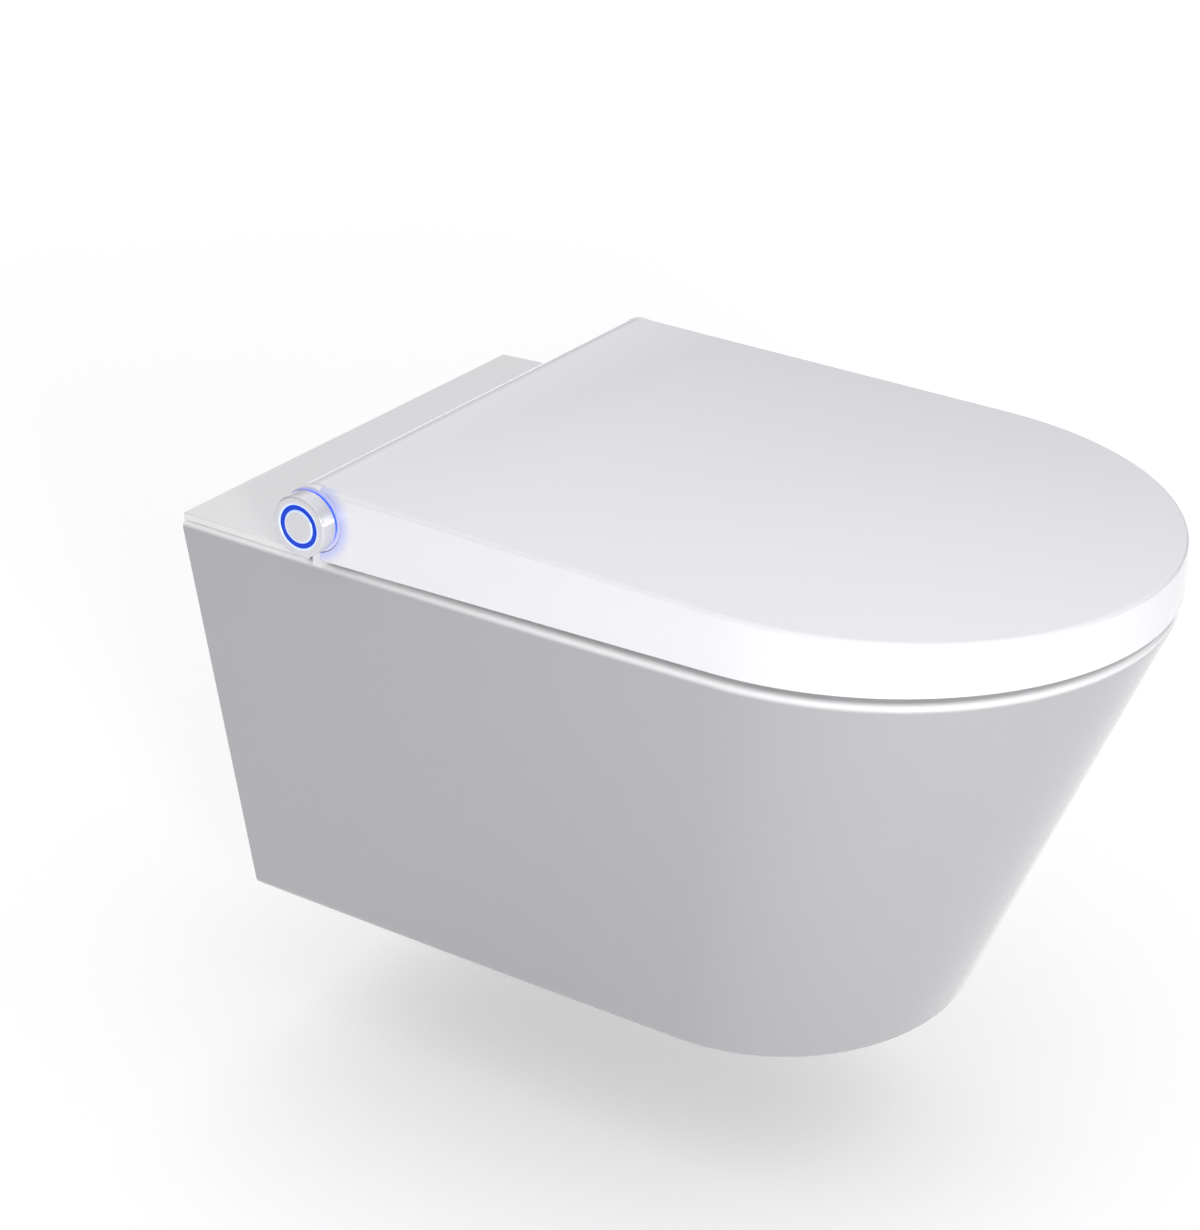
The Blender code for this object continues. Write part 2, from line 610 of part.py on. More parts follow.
def make_tray():
    low, high = RIM_Z - REBATE_DEPTH + GASKET + 2 * GAP, FLANGE_TOP_Z
    reach = REBATE_HALF_WIDTH - RUNNING_GAP
    tray = add("seat_base", box(
        (-reach, REBATE_FRONT_Y + RUNNING_GAP, low), (reach, REBATE_REAR_Y - RUNNING_GAP, high)
    ), UNIT_WHITE)
    out_x, rear, front = BAY_HALF_WIDTH - RUNNING_GAP, BAY_REAR_Y - RUNNING_GAP, BAY_FRONT_Y + RUNNING_GAP
    floor, well_floor = BAY_FLOOR_Z + RUNNING_GAP, WELL_FLOOR_Z + RUNNING_GAP
    join(tray, box((-out_x, front, floor), (out_x, rear, (low + high) / 2)))
    nose_x = NOTCH_HALF_WIDTH - RUNNING_GAP
    join(tray, box((-nose_x, NOSE_FRONT_Y, floor), (nose_x, front + 0.002, high)))
    well_in, well_front = WELL_INNER_X + RUNNING_GAP, WELL_FRONT_Y + RUNNING_GAP
    for side, _ in SIDE_NAMES:
        join(tray, side_box((well_in, out_x), (well_front, rear), (well_floor, (low + high) / 2), side))
    wall, above = TRAY_WALL, high + 0.01
    carve(tray, box((-out_x + wall, front + wall, floor + wall), (out_x - wall, rear - wall, above)))
    carve(tray, box(
        (-nose_x + wall, NOSE_FRONT_Y + wall, floor + wall), (nose_x - wall, front + 0.01, above)
    ))
    for side, _ in SIDE_NAMES:
        carve(tray, side_box(
            (well_in + wall, out_x - wall), (well_front + wall, rear - wall),
            (well_floor + wall, above), side,
        ))
        supply_x, plug_x = side * SUPPLY_X, side * PLUG_X
        carve(tray, rod((supply_x, 0, SUPPLY_Z), (supply_x, rear - 0.01, SUPPLY_Z), SUPPLY_RADIUS - 0.004))
        carve(tray, rod((plug_x, PLUG_Y, 0), (plug_x, PLUG_Y, above), BOLT_RADIUS + RUNNING_GAP, sides=16))
    # ways out of the nose for the nozzle and the dryer
    along = Vector((0, -math.cos(NOZZLE_SLOPE), -math.sin(NOZZLE_SLOPE)))
    tip = Vector((NOZZLE_X, NOZZLE_TIP_Y, NOZZLE_TIP_Z))
    carve(tray, rod(tip, tip + along * 0.05, NOZZLE_PORT_RADIUS, sides=24))
    carve(tray, rack_slot())
    carve(tray, box((DRYER_LOW.x, NOSE_FRONT_Y - 0.01, DRYER_LOW.z), (DRYER_HIGH.x, front, DRYER_HIGH.z)))
    axis, lug = FLAP_AXIS, FLAP_LUG_HALF
    for x in (DRYER_LOW.x - FLAP_LUG, DRYER_HIGH.x):
        join(tray, box(
            (x, axis.y - lug, axis.z - lug), (x + FLAP_LUG, NOSE_FRONT_Y + 0.001, axis.z + lug)
        ))
    x_from, x_to = DRYER_LOW.x - FLAP_LUG - 0.01, DRYER_HIGH.x + FLAP_LUG + 0.01
    carve(tray, rod((x_from, axis.y, axis.z), (x_to, axis.y, axis.z), FLAP_PIN_RADIUS + GAP, sides=16))


def make_gasket():
    z = RIM_Z - REBATE_DEPTH + GAP
    out_x = REBATE_HALF_WIDTH - 0.003
    gasket = add("base_gasket", box(
        (-out_x, REBATE_FRONT_Y + 0.003, z), (out_x, REBATE_REAR_Y - 0.003, z + GASKET)
    ), RUBBER)
    inner = BAY_HALF_WIDTH + 0.001
    carve(gasket, box((-inner, BAY_FRONT_Y - 0.001, z - 0.01), (inner, BAY_REAR_Y + 0.001, z + 0.01)))
    notch = NOTCH_HALF_WIDTH + 0.001
    carve(gasket, box((-notch, BAY_FRONT_Y - 0.03, z - 0.01), (notch, BAY_FRONT_Y + 0.002, z + 0.01)))
    for side, _ in SIDE_NAMES:
        x = side * PLUG_X
        carve(gasket, rod((x, PLUG_Y, z - 0.01), (x, PLUG_Y, z + 0.01), PLUG_RADIUS - 0.001, sides=16))


def make_fixings():
    """A rubber plug in each hole of the pan, and the screw that spreads it through the tray."""
    plug_top = RIM_Z - REBATE_DEPTH - GAP
    for side, word in SIDE_NAMES:
        x = side * PLUG_X
        add(f"fixing_plug_{word}", tube(
            (x, PLUG_Y, plug_top - PLUG_LENGTH), (x, PLUG_Y, plug_top), PLUG_RADIUS, BOLT_RADIUS + GAP, 20
        ), RUBBER)
        head = FLANGE_TOP_Z + GAP
        shank = PLUG_LENGTH + REBATE_DEPTH
        profile = [
            (0, head + 0.0022), (0.0042, head + 0.0016), (0.0045, head), (BOLT_RADIUS, head),
            (BOLT_RADIUS, head - shank), (0, head - shank),
        ]
        bolt = turned(profile, (x, PLUG_Y, 0), (0, 0, 1), 20)
        bolt = add(f"fixing_screw_{word}", bolt, STEEL)
        for turn in (0, math.pi / 2):
            slot = box((-0.0022, -0.0004, head + 0.0011), (0.0022, 0.0004, head + 0.01))
            slot.transform(Matrix.Translation((x, PLUG_Y, 0)) @ Matrix.Rotation(turn, 4, "Z"))
            carve(bolt, slot)


def shell(name, outer, inner, material, body=None):
    """A cover: an outer solid less an inner one that is open below."""
    return carve(add(name, outer, material, body), inner)


def make_covers():
    low, high = RIM_Z + GAP, RIM_Z + SHELF_HEIGHT

    def shelf_ring(z, inset):
        ring = []
        steps = 8
        for step in range(steps + 1):
            y = -0.001 + (SHELF_FRONT_Y + 0.001) * step / steps
            share = ((y - TOP_WIDEST_Y) / TOP_WIDEST_Y) ** 2
            half = TOP_HALF_WIDTH - (TOP_HALF_WIDTH - TOP_HALF_WALL) * share - SHELF_INSET - inset
            y = min(max(y, SHELF_FRONT_Y + inset), -0.001 - inset)
            ring.append((half, y))
        points = [(-x, y) for x, y in ring] + list(reversed(ring))
        return [Vector((x, y, z)) for x, y in points]

    edge = 0.0008
    shell("rear_cover", loft([
        shelf_ring(low, 0), shelf_ring(high - edge, 0), shelf_ring(high, edge)
    ]), loft([
        shelf_ring(low - 0.01, 0.003), shelf_ring(high - COVER_WALL, 0.003)
    ]), UNIT_WHITE)
    cover_x, rear, front = COVER_HALF_WIDTH - GAP, SHELF_FRONT_Y - RUNNING_GAP, COVER_FRONT_Y
    cover_high = RIM_Z + COVER_HEIGHT
    wall = COVER_WALL
    shell("housing_cover", box(
        (-cover_x, front, low), (cover_x, rear, cover_high), 0.0007
    ), box(
        (-cover_x + wall, front + wall, low - 0.01), (cover_x - wall, rear - wall, cover_high - wall)
    ), UNIT_WHITE)


# ---------------------------------------------------------------- hinge
def make_hinge():
    tongue_inner = COVER_HALF_WIDTH + GAP
    foot_front, foot_rear = HINGE_Y - BOSS_FOOT_FRONT, HINGE_Y + BOSS_FOOT_REAR
    foot_low, foot_top = RIM_Z + GAP, RIM_Z + COVER_HEIGHT
    for side, word in SIDE_NAMES:
        boss = add(f"hinge_boss_{word}", rod(
            (side * BOSS_INNER_X, HINGE_Y, HINGE_Z), (side * BOSS_OUTER_X, HINGE_Y, HINGE_Z), BARREL_RADIUS,
            sides=2 * SIDES,
        ), UNIT_WHITE)
        foot_y = (foot_front, foot_rear)
        join(boss, side_box((BOSS_INNER_X, BOSS_OUTER_X), foot_y, (foot_low, HINGE_Z), side))
        join(boss, side_box((tongue_inner, BOSS_OUTER_X), foot_y, (foot_low, foot_top), side))
        bore_from, bore_to = side * (BOSS_INNER_X - 0.01), side * (BOSS_OUTER_X - BOSS_SKIN)
        carve(boss, rod((bore_from, HINGE_Y, HINGE_Z), (bore_to, HINGE_Y, HINGE_Z), PIN_RADIUS + GAP))
        pin_end = side * (BOSS_OUTER_X - BOSS_SKIN - GAP)
        add(f"hinge_pin_{word}", rod(
            (side * PIN_INNER_X, HINGE_Y, HINGE_Z), (pin_end, HINGE_Y, HINGE_Z), PIN_RADIUS
        ), STEEL)
    for side, name in ((-1, "lid_damper"), (1, "seat_damper")):
        add(name, tube(
            (side * DAMPER_INNER_X, HINGE_Y, HINGE_Z), (side * DAMPER_OUTER_X, HINGE_Y, HINGE_Z),
            DAMPER_RADIUS, PIN_RADIUS + GAP,
        ), BLACK_PLASTIC)


# ---------------------------------------------------------------- seat
def seat_ring(z, inset=0.0, rear_inset=0.0):
    return oval_front(
        SEAT_HALF_WIDTH, SEAT_HALF_WIDTH + 0.0001, SEAT_REAR_Y - rear_inset,
        TOP_WIDEST_Y, SEAT_FRONT_Y, z, inset,
    )


def hole_cut(low, high, grow=0.0):
    return loft([
        egg(HOLE_HALF_WIDTH, HOLE_REAR_Y, HOLE_FRONT_Y, low, grow),
        egg(HOLE_HALF_WIDTH, HOLE_REAR_Y, HOLE_FRONT_Y, high, grow),
    ])


def make_seat():
    shell_low = SEAT_BOTTOM_Z + SEAT_PLATE + GAP
    rings = [seat_ring(shell_low)]
    rings += [seat_ring(SEAT_TOP_Z - drop, inset, inset) for inset, drop in rounded(SEAT_ROUND)]
    top = add("seat_top_shell", loft(rings), SEAT_WHITE, seat_pivot)
    inner_high = SEAT_TOP_Z - SEAT_WALL
    carve(top, loft([
        seat_ring(shell_low - 0.01, SEAT_WALL, SEAT_WALL),
        seat_ring(inner_high - 0.004, SEAT_WALL, SEAT_WALL),
        seat_ring(inner_high, SEAT_WALL + 0.004, SEAT_WALL + 0.004),
    ]))
    # the wall round the hole, then the hole with a rounded upper edge
    join(top, hole_cut(shell_low, inner_high + 0.001, SEAT_WALL))
    edge = [(shell_low - 0.01, 0.0), (SEAT_TOP_Z - SEAT_ROUND, 0.0)]
    edge += [(SEAT_TOP_Z - 0.0035, 0.0008), (SEAT_TOP_Z - 0.0012, 0.0026), (SEAT_TOP_Z + 0.0002, 0.0055)]
    edge += [(SEAT_TOP_Z + 0.01, 0.0055)]
    carve(top, loft([egg(HOLE_HALF_WIDTH, HOLE_REAR_Y, HOLE_FRONT_Y, z, grow) for z, grow in edge]))
    for side, _ in SIDE_NAMES:
        join(top, side_box(
            (SEAT_EAR_INNER_X, SEAT_EAR_OUTER_X), (HINGE_Y - 0.045, HINGE_Y),
            (SEAT_TOP_Z - SEAT_WALL + 0.0005, HINGE_Z + 0.005), side,
        ))
        x_from, x_to = side * SEAT_EAR_INNER_X, side * SEAT_EAR_OUTER_X
        join(top, rod((x_from, HINGE_Y, HINGE_Z), (x_to, HINGE_Y, HINGE_Z), SEAT_EYE_RADIUS))
        carve(top, rod(
            (x_from - side * 0.01, HINGE_Y, HINGE_Z), (x_to + side * 0.01, HINGE_Y, HINGE_Z),
            PIN_RADIUS + RUNNING_GAP,
        ))
    plate_high = SEAT_BOTTOM_Z + SEAT_PLATE
    bottom = add("seat_bottom_shell", loft([
        seat_ring(SEAT_BOTTOM_Z, 0.001, 0.001), seat_ring(SEAT_BOTTOM_Z + 0.001), seat_ring(plate_high)
    ]), SEAT_WHITE, seat_pivot)
    carve(bottom, hole_cut(SEAT_BOTTOM_Z - 0.01, plate_high + 0.01))
    heater_low = inner_high - 0.0016
    heater = add("seat_heater", loft([
        seat_ring(heater_low, 0.014, 0.030), seat_ring(heater_low + 0.0010, 0.014, 0.030)
    ]), FOIL, seat_pivot)
    carve(heater, hole_cut(heater_low - 0.01, heater_low + 0.01, 0.012))
    for side, word in SIDE_NAMES:
        for place, (x, y) in zip(("rear", "front"), SEAT_BUMPERS):
            add(f"seat_bumper_{place}_{word}", rod(
                (side * x, y, RIM_Z + GAP), (side * x, y, SEAT_BOTTOM_Z - GAP),
                SEAT_BUMPER_RADIUS - 0.001, SEAT_BUMPER_RADIUS, 24,
            ), RUBBER, seat_pivot)


# ---------------------------------------------------------------- lid
def lid_top(y):
    """Height of the lid's top, which falls from the barrel to the front."""
    barrel_top = HINGE_Z + BARREL_RADIUS
    return barrel_top + (LID_FRONT_TOP_Z - barrel_top) * (HINGE_Y - y) / (HINGE_Y - LID_FRONT_Y)


def lid_ring(z, inset=0.0):
    return oval_front(
        LID_HALF_WIDTH, LID_HALF_WIDTH + 0.0001, HINGE_Y, TOP_WIDEST_Y, LID_FRONT_Y, z, inset
    )


def barrel(half_length, radius):
    return rod((-half_length, HINGE_Y, HINGE_Z), (half_length, HINGE_Y, HINGE_Z), radius, sides=3 * SIDES)


def make_lid():
    rings = [lid_ring(LID_EDGE_Z)]
    rings += [
        lid_ring(lambda y, drop=drop: lid_top(y) - drop, inset) for inset, drop in rounded(LID_EDGE_ROUND)
    ]
    lid = add("lid_shell", loft(rings), LID_WHITE, lid_pivot)
    end = BOSS_INNER_X - RUNNING_GAP
    # the barrel, less what lies below its lower rear edge
    join(lid, barrel(end + SEAM, BARREL_RADIUS))
    edge_z = HINGE_Z + BARREL_RADIUS * math.sin(BARREL_END_ANGLE)
    carve(lid, box((-0.3, HINGE_Y - 0.0001, HINGE_Z - 0.05), (0.3, HINGE_Y + 0.05, edge_z)))
    carve(lid, loft([
        lid_ring(LID_EDGE_Z - 0.01, LID_WALL),
        lid_ring(lambda y: lid_top(y) - LID_WALL, LID_WALL),
    ]))
    inner_end = end - LID_EAR
    carve(lid, barrel(inner_end, BARREL_RADIUS - LID_WALL))
    # room for the bosses at the sides of the barrel, and for their feet
    for side, word in SIDE_NAMES:
        join(lid, rod(
            (side * inner_end, HINGE_Y, HINGE_Z), (side * (end + SEAM), HINGE_Y, HINGE_Z),
            BARREL_RADIUS - SEAM, sides=2 * SIDES,
        ))
        boss_room = rod(
            (side * end, HINGE_Y, HINGE_Z), (side * 0.25, HINGE_Y, HINGE_Z), BARREL_RADIUS + RUNNING_GAP,
            sides=3 * SIDES,
        )
        carve(lid, boss_room)
        carve(lid, side_box(
            (end, 0.25), (HINGE_Y - BOSS_FOOT_FRONT - RUNNING_GAP, HINGE_Y + 0.05),
            (HINGE_Z - 0.05, HINGE_Z + SEAM), side,
        ))
        carve(lid, rod(
            (side * (inner_end - 0.01), HINGE_Y, HINGE_Z), (side * (end + 0.01), HINGE_Y, HINGE_Z),
            PIN_RADIUS + RUNNING_GAP,
        ))
        for place, (x, y) in zip(("middle", "front"), LID_BUMPERS):
            top_z = lid_top(y - LID_BUMPER_RADIUS) - LID_WALL - GAP
            add(f"lid_bumper_{place}_{word}", rod(
                (side * x, y, SEAT_TOP_Z + GAP), (side * x, y, top_z), LID_BUMPER_RADIUS - 0.001,
                LID_BUMPER_RADIUS, 20,
            ), RUBBER, lid_pivot)


# ---------------------------------------------------------------- side knob
def make_knob():
    collar_out = -BOSS_OUTER_X - GAP - KNOB_COLLAR
    add("knob_collar", tube(
        (-BOSS_OUTER_X - GAP, HINGE_Y, HINGE_Z), (collar_out, HINGE_Y, HINGE_Z), KNOB_COLLAR_RADIUS,
        ENCODER_RADIUS + GAP, 2 * SIDES,
    ), BLUE_LIGHT)
    add("knob_encoder", rod(
        (-BOSS_OUTER_X - GAP, HINGE_Y, HINGE_Z), (-BOSS_OUTER_X - 0.0070, HINGE_Y, HINGE_Z), ENCODER_RADIUS
    ), BLACK_PLASTIC)
    depth = (collar_out - RUNNING_GAP) - KNOB_FACE_X
    bore = KNOB_RADIUS - KNOB_WALL
    # heights run outwards from the knob's open side
    profile = [
        (KNOB_RADIUS - 0.0012, depth), (KNOB_RADIUS - 0.0004, depth - 0.0004), (KNOB_RADIUS, depth - 0.0012),
        (KNOB_RADIUS, 0), (bore, 0), (bore, depth - LIGHT_DEPTH - 0.001),
        (LIGHT_OUTER_RADIUS + GAP, depth - LIGHT_DEPTH - 0.001), (LIGHT_OUTER_RADIUS + GAP, depth),
    ]
    start = (KNOB_FACE_X + depth, HINGE_Y, HINGE_Z)
    knob = add("control_knob", turned(profile, start, (-1, 0, 0), 2 * SIDES), PEARL, knob_pivot)
    turn = Matrix.Translation(HINGE) @ Matrix.Rotation(math.pi - POINTER_ANGLE, 4, "X")
    half = POINTER_WIDTH / 2
    x_from, x_to = KNOB_FACE_X + 0.0012, KNOB_FACE_X + depth - 0.001
    slot = box(
        (x_from - GAP, KNOB_RADIUS - 0.0015, -half - GAP), (x_to + GAP, KNOB_RADIUS + 0.01, half + GAP)
    )
    slot.transform(turn)
    carve(knob, slot)
    line = box((x_from, KNOB_RADIUS - 0.0012, -half), (x_to, KNOB_RADIUS + 0.0002, half))
    line.transform(turn)
    add("knob_pointer", line, WHITE_LIGHT, knob_pivot)
    add("knob_light_ring", tube(
        (KNOB_FACE_X + LIGHT_DEPTH, HINGE_Y, HINGE_Z), (KNOB_FACE_X - 0.0001, HINGE_Y, HINGE_Z),
        LIGHT_OUTER_RADIUS, LIGHT_INNER_RADIUS, 2 * SIDES,
    ), BLUE_LIGHT, knob_pivot)
    button = LIGHT_INNER_RADIUS - GAP
    height = BUTTON_HEIGHT
    profile = [
        (0, height), (button - 0.0006, height), (button, height - 0.0006), (button, 0), (0, 0)
    ]
    add("knob_button", turned(
        profile, (KNOB_FACE_X + height, HINGE_Y, HINGE_Z), (-1, 0, 0), 2 * SIDES
    ), PEARL, button_pivot)


# ---------------------------------------------------------------- wash nozzle
def in_nozzle_frame_point(y):
    """The point of the nozzle's axis at a distance y from the wall."""
    return Vector((NOZZLE_X, y, NOZZLE_TIP_Z + (y - NOZZLE_TIP_Y) * math.tan(NOZZLE_SLOPE)))


def prism(points, low, high):
    return loft([[Vector((x, y, z)) for x, y in points] for z in (low, high)])


def rack_points():
    """Outline of the toothed bar, from above: teeth towards +X."""
    pitch_x = NOZZLE_RADIUS + RACK_DEPTH
    root, crest = pitch_x - DEDENDUM, pitch_x + ADDENDUM
    half = TOOTH_SHARE * PITCH / 2
    slope = math.tan(PRESSURE_ANGLE)
    points = []
    for tooth in range(-1, math.ceil(NOZZLE_TRAVEL / PITCH) + 1):
        y = PINION_BACK + tooth * PITCH
        points += [
            (root, y - half - DEDENDUM * slope), (crest, y - half + ADDENDUM * slope),
            (crest, y + half - ADDENDUM * slope), (root, y + half + DEDENDUM * slope),
        ]
    back = NOZZLE_RADIUS - 0.001
    return [(back, points[0][1] - 0.001), (root, points[0][1] - 0.001), *points,
            (root, points[-1][1] + 0.001), (back, points[-1][1] + 0.001)]


def pinion_points():
    """Outline of the pinion with involute flanks, a gap between teeth facing the rack."""
    base = PITCH_RADIUS * math.cos(PRESSURE_ANGLE)
    half_at_pitch = TOOTH_SHARE * math.pi / PINION_TEETH
    involute_at_pitch = math.tan(PRESSURE_ANGLE) - PRESSURE_ANGLE
    points = []
    for tooth in range(PINION_TEETH):
        middle = math.pi + (tooth + 0.5) * 2 * math.pi / PINION_TEETH
        flank = []
        for step in range(4):
            radius = base + (PITCH_RADIUS + ADDENDUM - base) * step / 3
            at = math.acos(base / radius)
            flank.append((radius, half_at_pitch + involute_at_pitch - (math.tan(at) - at)))
        root = (PITCH_RADIUS - DEDENDUM, flank[0][1])
        outline = [(r, -a) for r, a in [root, *flank]] + [(r, a) for r, a in reversed([root, *flank])]
        points += [(r * math.cos(middle + a), r * math.sin(middle + a)) for r, a in outline]
    return [(x + PINION_X, y + PINION_BACK) for x, y in points]


def make_nozzle():
    tip = NOZZLE_HEAD
    nozzle = add("wash_nozzle", in_nozzle_frame(rod(
        (0, tip + GAP, 0), (0, NOZZLE_LENGTH, 0), NOZZLE_RADIUS, sides=24
    )), STEEL, nozzle_pivot)
    join(nozzle, in_nozzle_frame(prism(rack_points(), -GEAR_HALF_WIDTH, GEAR_HALF_WIDTH)))
    head = add("nozzle_tip", in_nozzle_frame(rod(
        (0, 0, 0), (0, tip, 0), NOZZLE_RADIUS - 0.001, NOZZLE_RADIUS, sides=24
    )), GREY_PLASTIC, nozzle_pivot)
    for y in (0.007, 0.013, 0.019):
        carve(head, in_nozzle_frame(rod((0, y, 0.002), (0, y, 0.02), 0.0009, sides=10)))
    pinion = add("nozzle_pinion", in_nozzle_frame(
        prism(pinion_points(), -GEAR_HALF_WIDTH, GEAR_HALF_WIDTH)
    ), GREY_PLASTIC, pinion_pivot)
    shaft = SHAFT_RADIUS
    carve(pinion, in_nozzle_frame(rod(
        (PINION_X, PINION_BACK, -0.01), (PINION_X, PINION_BACK, 0.01), shaft + RUNNING_GAP, sides=16
    )))
    motor_z = -GEAR_HALF_WIDTH - 0.0008
    motor = add("nozzle_motor", in_nozzle_frame(rod(
        (PINION_X, PINION_BACK, motor_z - 0.011), (PINION_X, PINION_BACK, motor_z), 0.010
    )), BLACK_PLASTIC)
    shaft_top = GEAR_HALF_WIDTH + 0.001
    join(motor, in_nozzle_frame(rod(
        (PINION_X, PINION_BACK, motor_z - 0.002), (PINION_X, PINION_BACK, shaft_top), shaft, sides=16
    )))
    # a trough under the nozzle, open along the rack's side
    half, wall, low = NOZZLE_RADIUS + RUNNING_GAP, GUIDE_WALL, -NOZZLE_RADIUS - RUNNING_GAP
    guide = add("nozzle_guide", in_nozzle_frame(box(
        (-half - wall, 0.004, low - wall), (half, 0.092, NOZZLE_RADIUS - 0.001)
    )), GREY_PLASTIC)
    carve(guide, in_nozzle_frame(rod((0, -0.01, 0), (0, 0.2, 0), half, sides=24)))
    carve(guide, in_nozzle_frame(box((0, -0.01, -GEAR_HALF_WIDTH - 0.0008), (half + 0.02, 0.2, 0.02))))
    seal_start = in_nozzle_frame_point(NOSE_FRONT_Y)
    along = Vector((0, -math.cos(NOZZLE_SLOPE), -math.sin(NOZZLE_SLOPE)))
    seal = add("nozzle_port_seal", tube(
        seal_start, seal_start - along * SEAL_DEPTH,
        NOZZLE_PORT_RADIUS - GAP, NOZZLE_RADIUS + RUNNING_GAP, 24,
    ), RUBBER)
    carve(seal, rack_slot())


# ---------------------------------------------------------------- dryer
def duct_ring(x_from, x_to, y, z_from, z_to, inset=0.0):
    return [
        Vector((x_from + inset, y, z_from + inset)), Vector((x_to - inset, y, z_from + inset)),
        Vector((x_to - inset, y, z_to - inset)), Vector((x_from + inset, y, z_to - inset)),
    ]


def make_dryer():
    x, y = BLOWER.x, BLOWER.y
    low, high, wall = BLOWER_LOW_Z, BLOWER_HIGH_Z, BLOWER_WALL
    outlet_x = (x - 0.017, x + 0.009)
    outlet_y = y - BLOWER_RADIUS - 0.006
    housing = add("blower_housing", rod((x, y, low), (x, y, high), BLOWER_RADIUS, sides=40), GREY_PLASTIC)
    join(housing, box((outlet_x[0], outlet_y, low + 0.001), (outlet_x[1], y - 0.015, high - 0.001)))
    carve(housing, rod((x, y, low + wall), (x, y, high - wall), BLOWER_RADIUS - wall, sides=40))
    carve(housing, box(
        (outlet_x[0] + wall, outlet_y - 0.01, low + 0.001 + wall),
        (outlet_x[1] - wall, y - 0.010, high - 0.001 - wall),
    ))
    carve(housing, rod((x, y, high - 0.01), (x, y, high + 0.01), BLOWER_INTAKE_RADIUS, sides=24))
    carve(housing, rod((x, y, low - 0.01), (x, y, low + 0.01), SHAFT_RADIUS + 0.002, sides=16))
    plate_low = low + wall + 0.002
    impeller = add("blower_impeller", tube(
        (x, y, plate_low), (x, y, plate_low + 0.0015), IMPELLER_RADIUS, SHAFT_RADIUS + RUNNING_GAP, 32
    ), BLACK_PLASTIC, fan_pivot)
    bore = SHAFT_RADIUS + RUNNING_GAP
    hub = SHAFT_RADIUS + 0.003
    join(impeller, tube((x, y, plate_low + 0.0007), (x, y, plate_low + 0.009), hub, bore, 16))
    for blade in range(BLADES):
        vane = box(
            (BLADE_ROOT, -BLADE_HALF, plate_low + 0.0007),
            (IMPELLER_RADIUS - 0.001, BLADE_HALF, high - wall - 0.003),
        )
        vane.transform(
            Matrix.Translation((x, y, 0)) @ Matrix.Rotation(2 * math.pi * blade / BLADES, 4, "Z")
        )
        join(impeller, vane)
    motor = add("blower_motor", rod(
        (x, y, low - BLOWER_MOTOR_LENGTH), (x, y, low - GAP), BLOWER_MOTOR_RADIUS
    ), BLACK_PLASTIC)
    join(motor, rod((x, y, low - 0.001), (x, y, high - wall - 0.006), SHAFT_RADIUS, sides=16))
    z_from, z_to = low + 0.001, high - 0.001
    nose_x = (DRYER_LOW.x + 0.001, DRYER_HIGH.x - 0.001)
    sections = (
        (*outlet_x, outlet_y - GAP), (nose_x[0] + 0.003, nose_x[1] + 0.003, BAY_FRONT_Y + 0.004),
        (*nose_x, NOSE_FRONT_Y + TRAY_WALL + RUNNING_GAP),
    )
    outside = [duct_ring(a, b, at, z_from, z_to) for a, b, at in sections]
    duct = add("dryer_duct", loft(outside), GREY_PLASTIC)
    inside = [duct_ring(a, b, at, z_from, z_to, DUCT_WALL) for a, b, at in sections]
    inside.insert(0, [p + Vector((0, 0.01, 0)) for p in inside[0]])
    inside.append([p - Vector((0, 0.01, 0)) for p in inside[-1]])
    carve(duct, loft(inside))
    flap_front = FLAP_AXIS.y - 0.0005
    side_gap = GAP + RUNNING_GAP
    flap = add("dryer_flap", box(
        (DRYER_LOW.x + side_gap, flap_front, DRYER_LOW.z - 0.001),
        (DRYER_HIGH.x - side_gap, flap_front + 0.001, FLAP_AXIS.z),
    ), UNIT_WHITE, flap_pivot)
    pin_from, pin_to = DRYER_LOW.x - FLAP_LUG + RUNNING_GAP, DRYER_HIGH.x + FLAP_LUG - RUNNING_GAP
    join(flap, rod(
        (pin_from, FLAP_AXIS.y, FLAP_AXIS.z), (pin_to, FLAP_AXIS.y, FLAP_AXIS.z), FLAP_PIN_RADIUS, sides=16
    ))


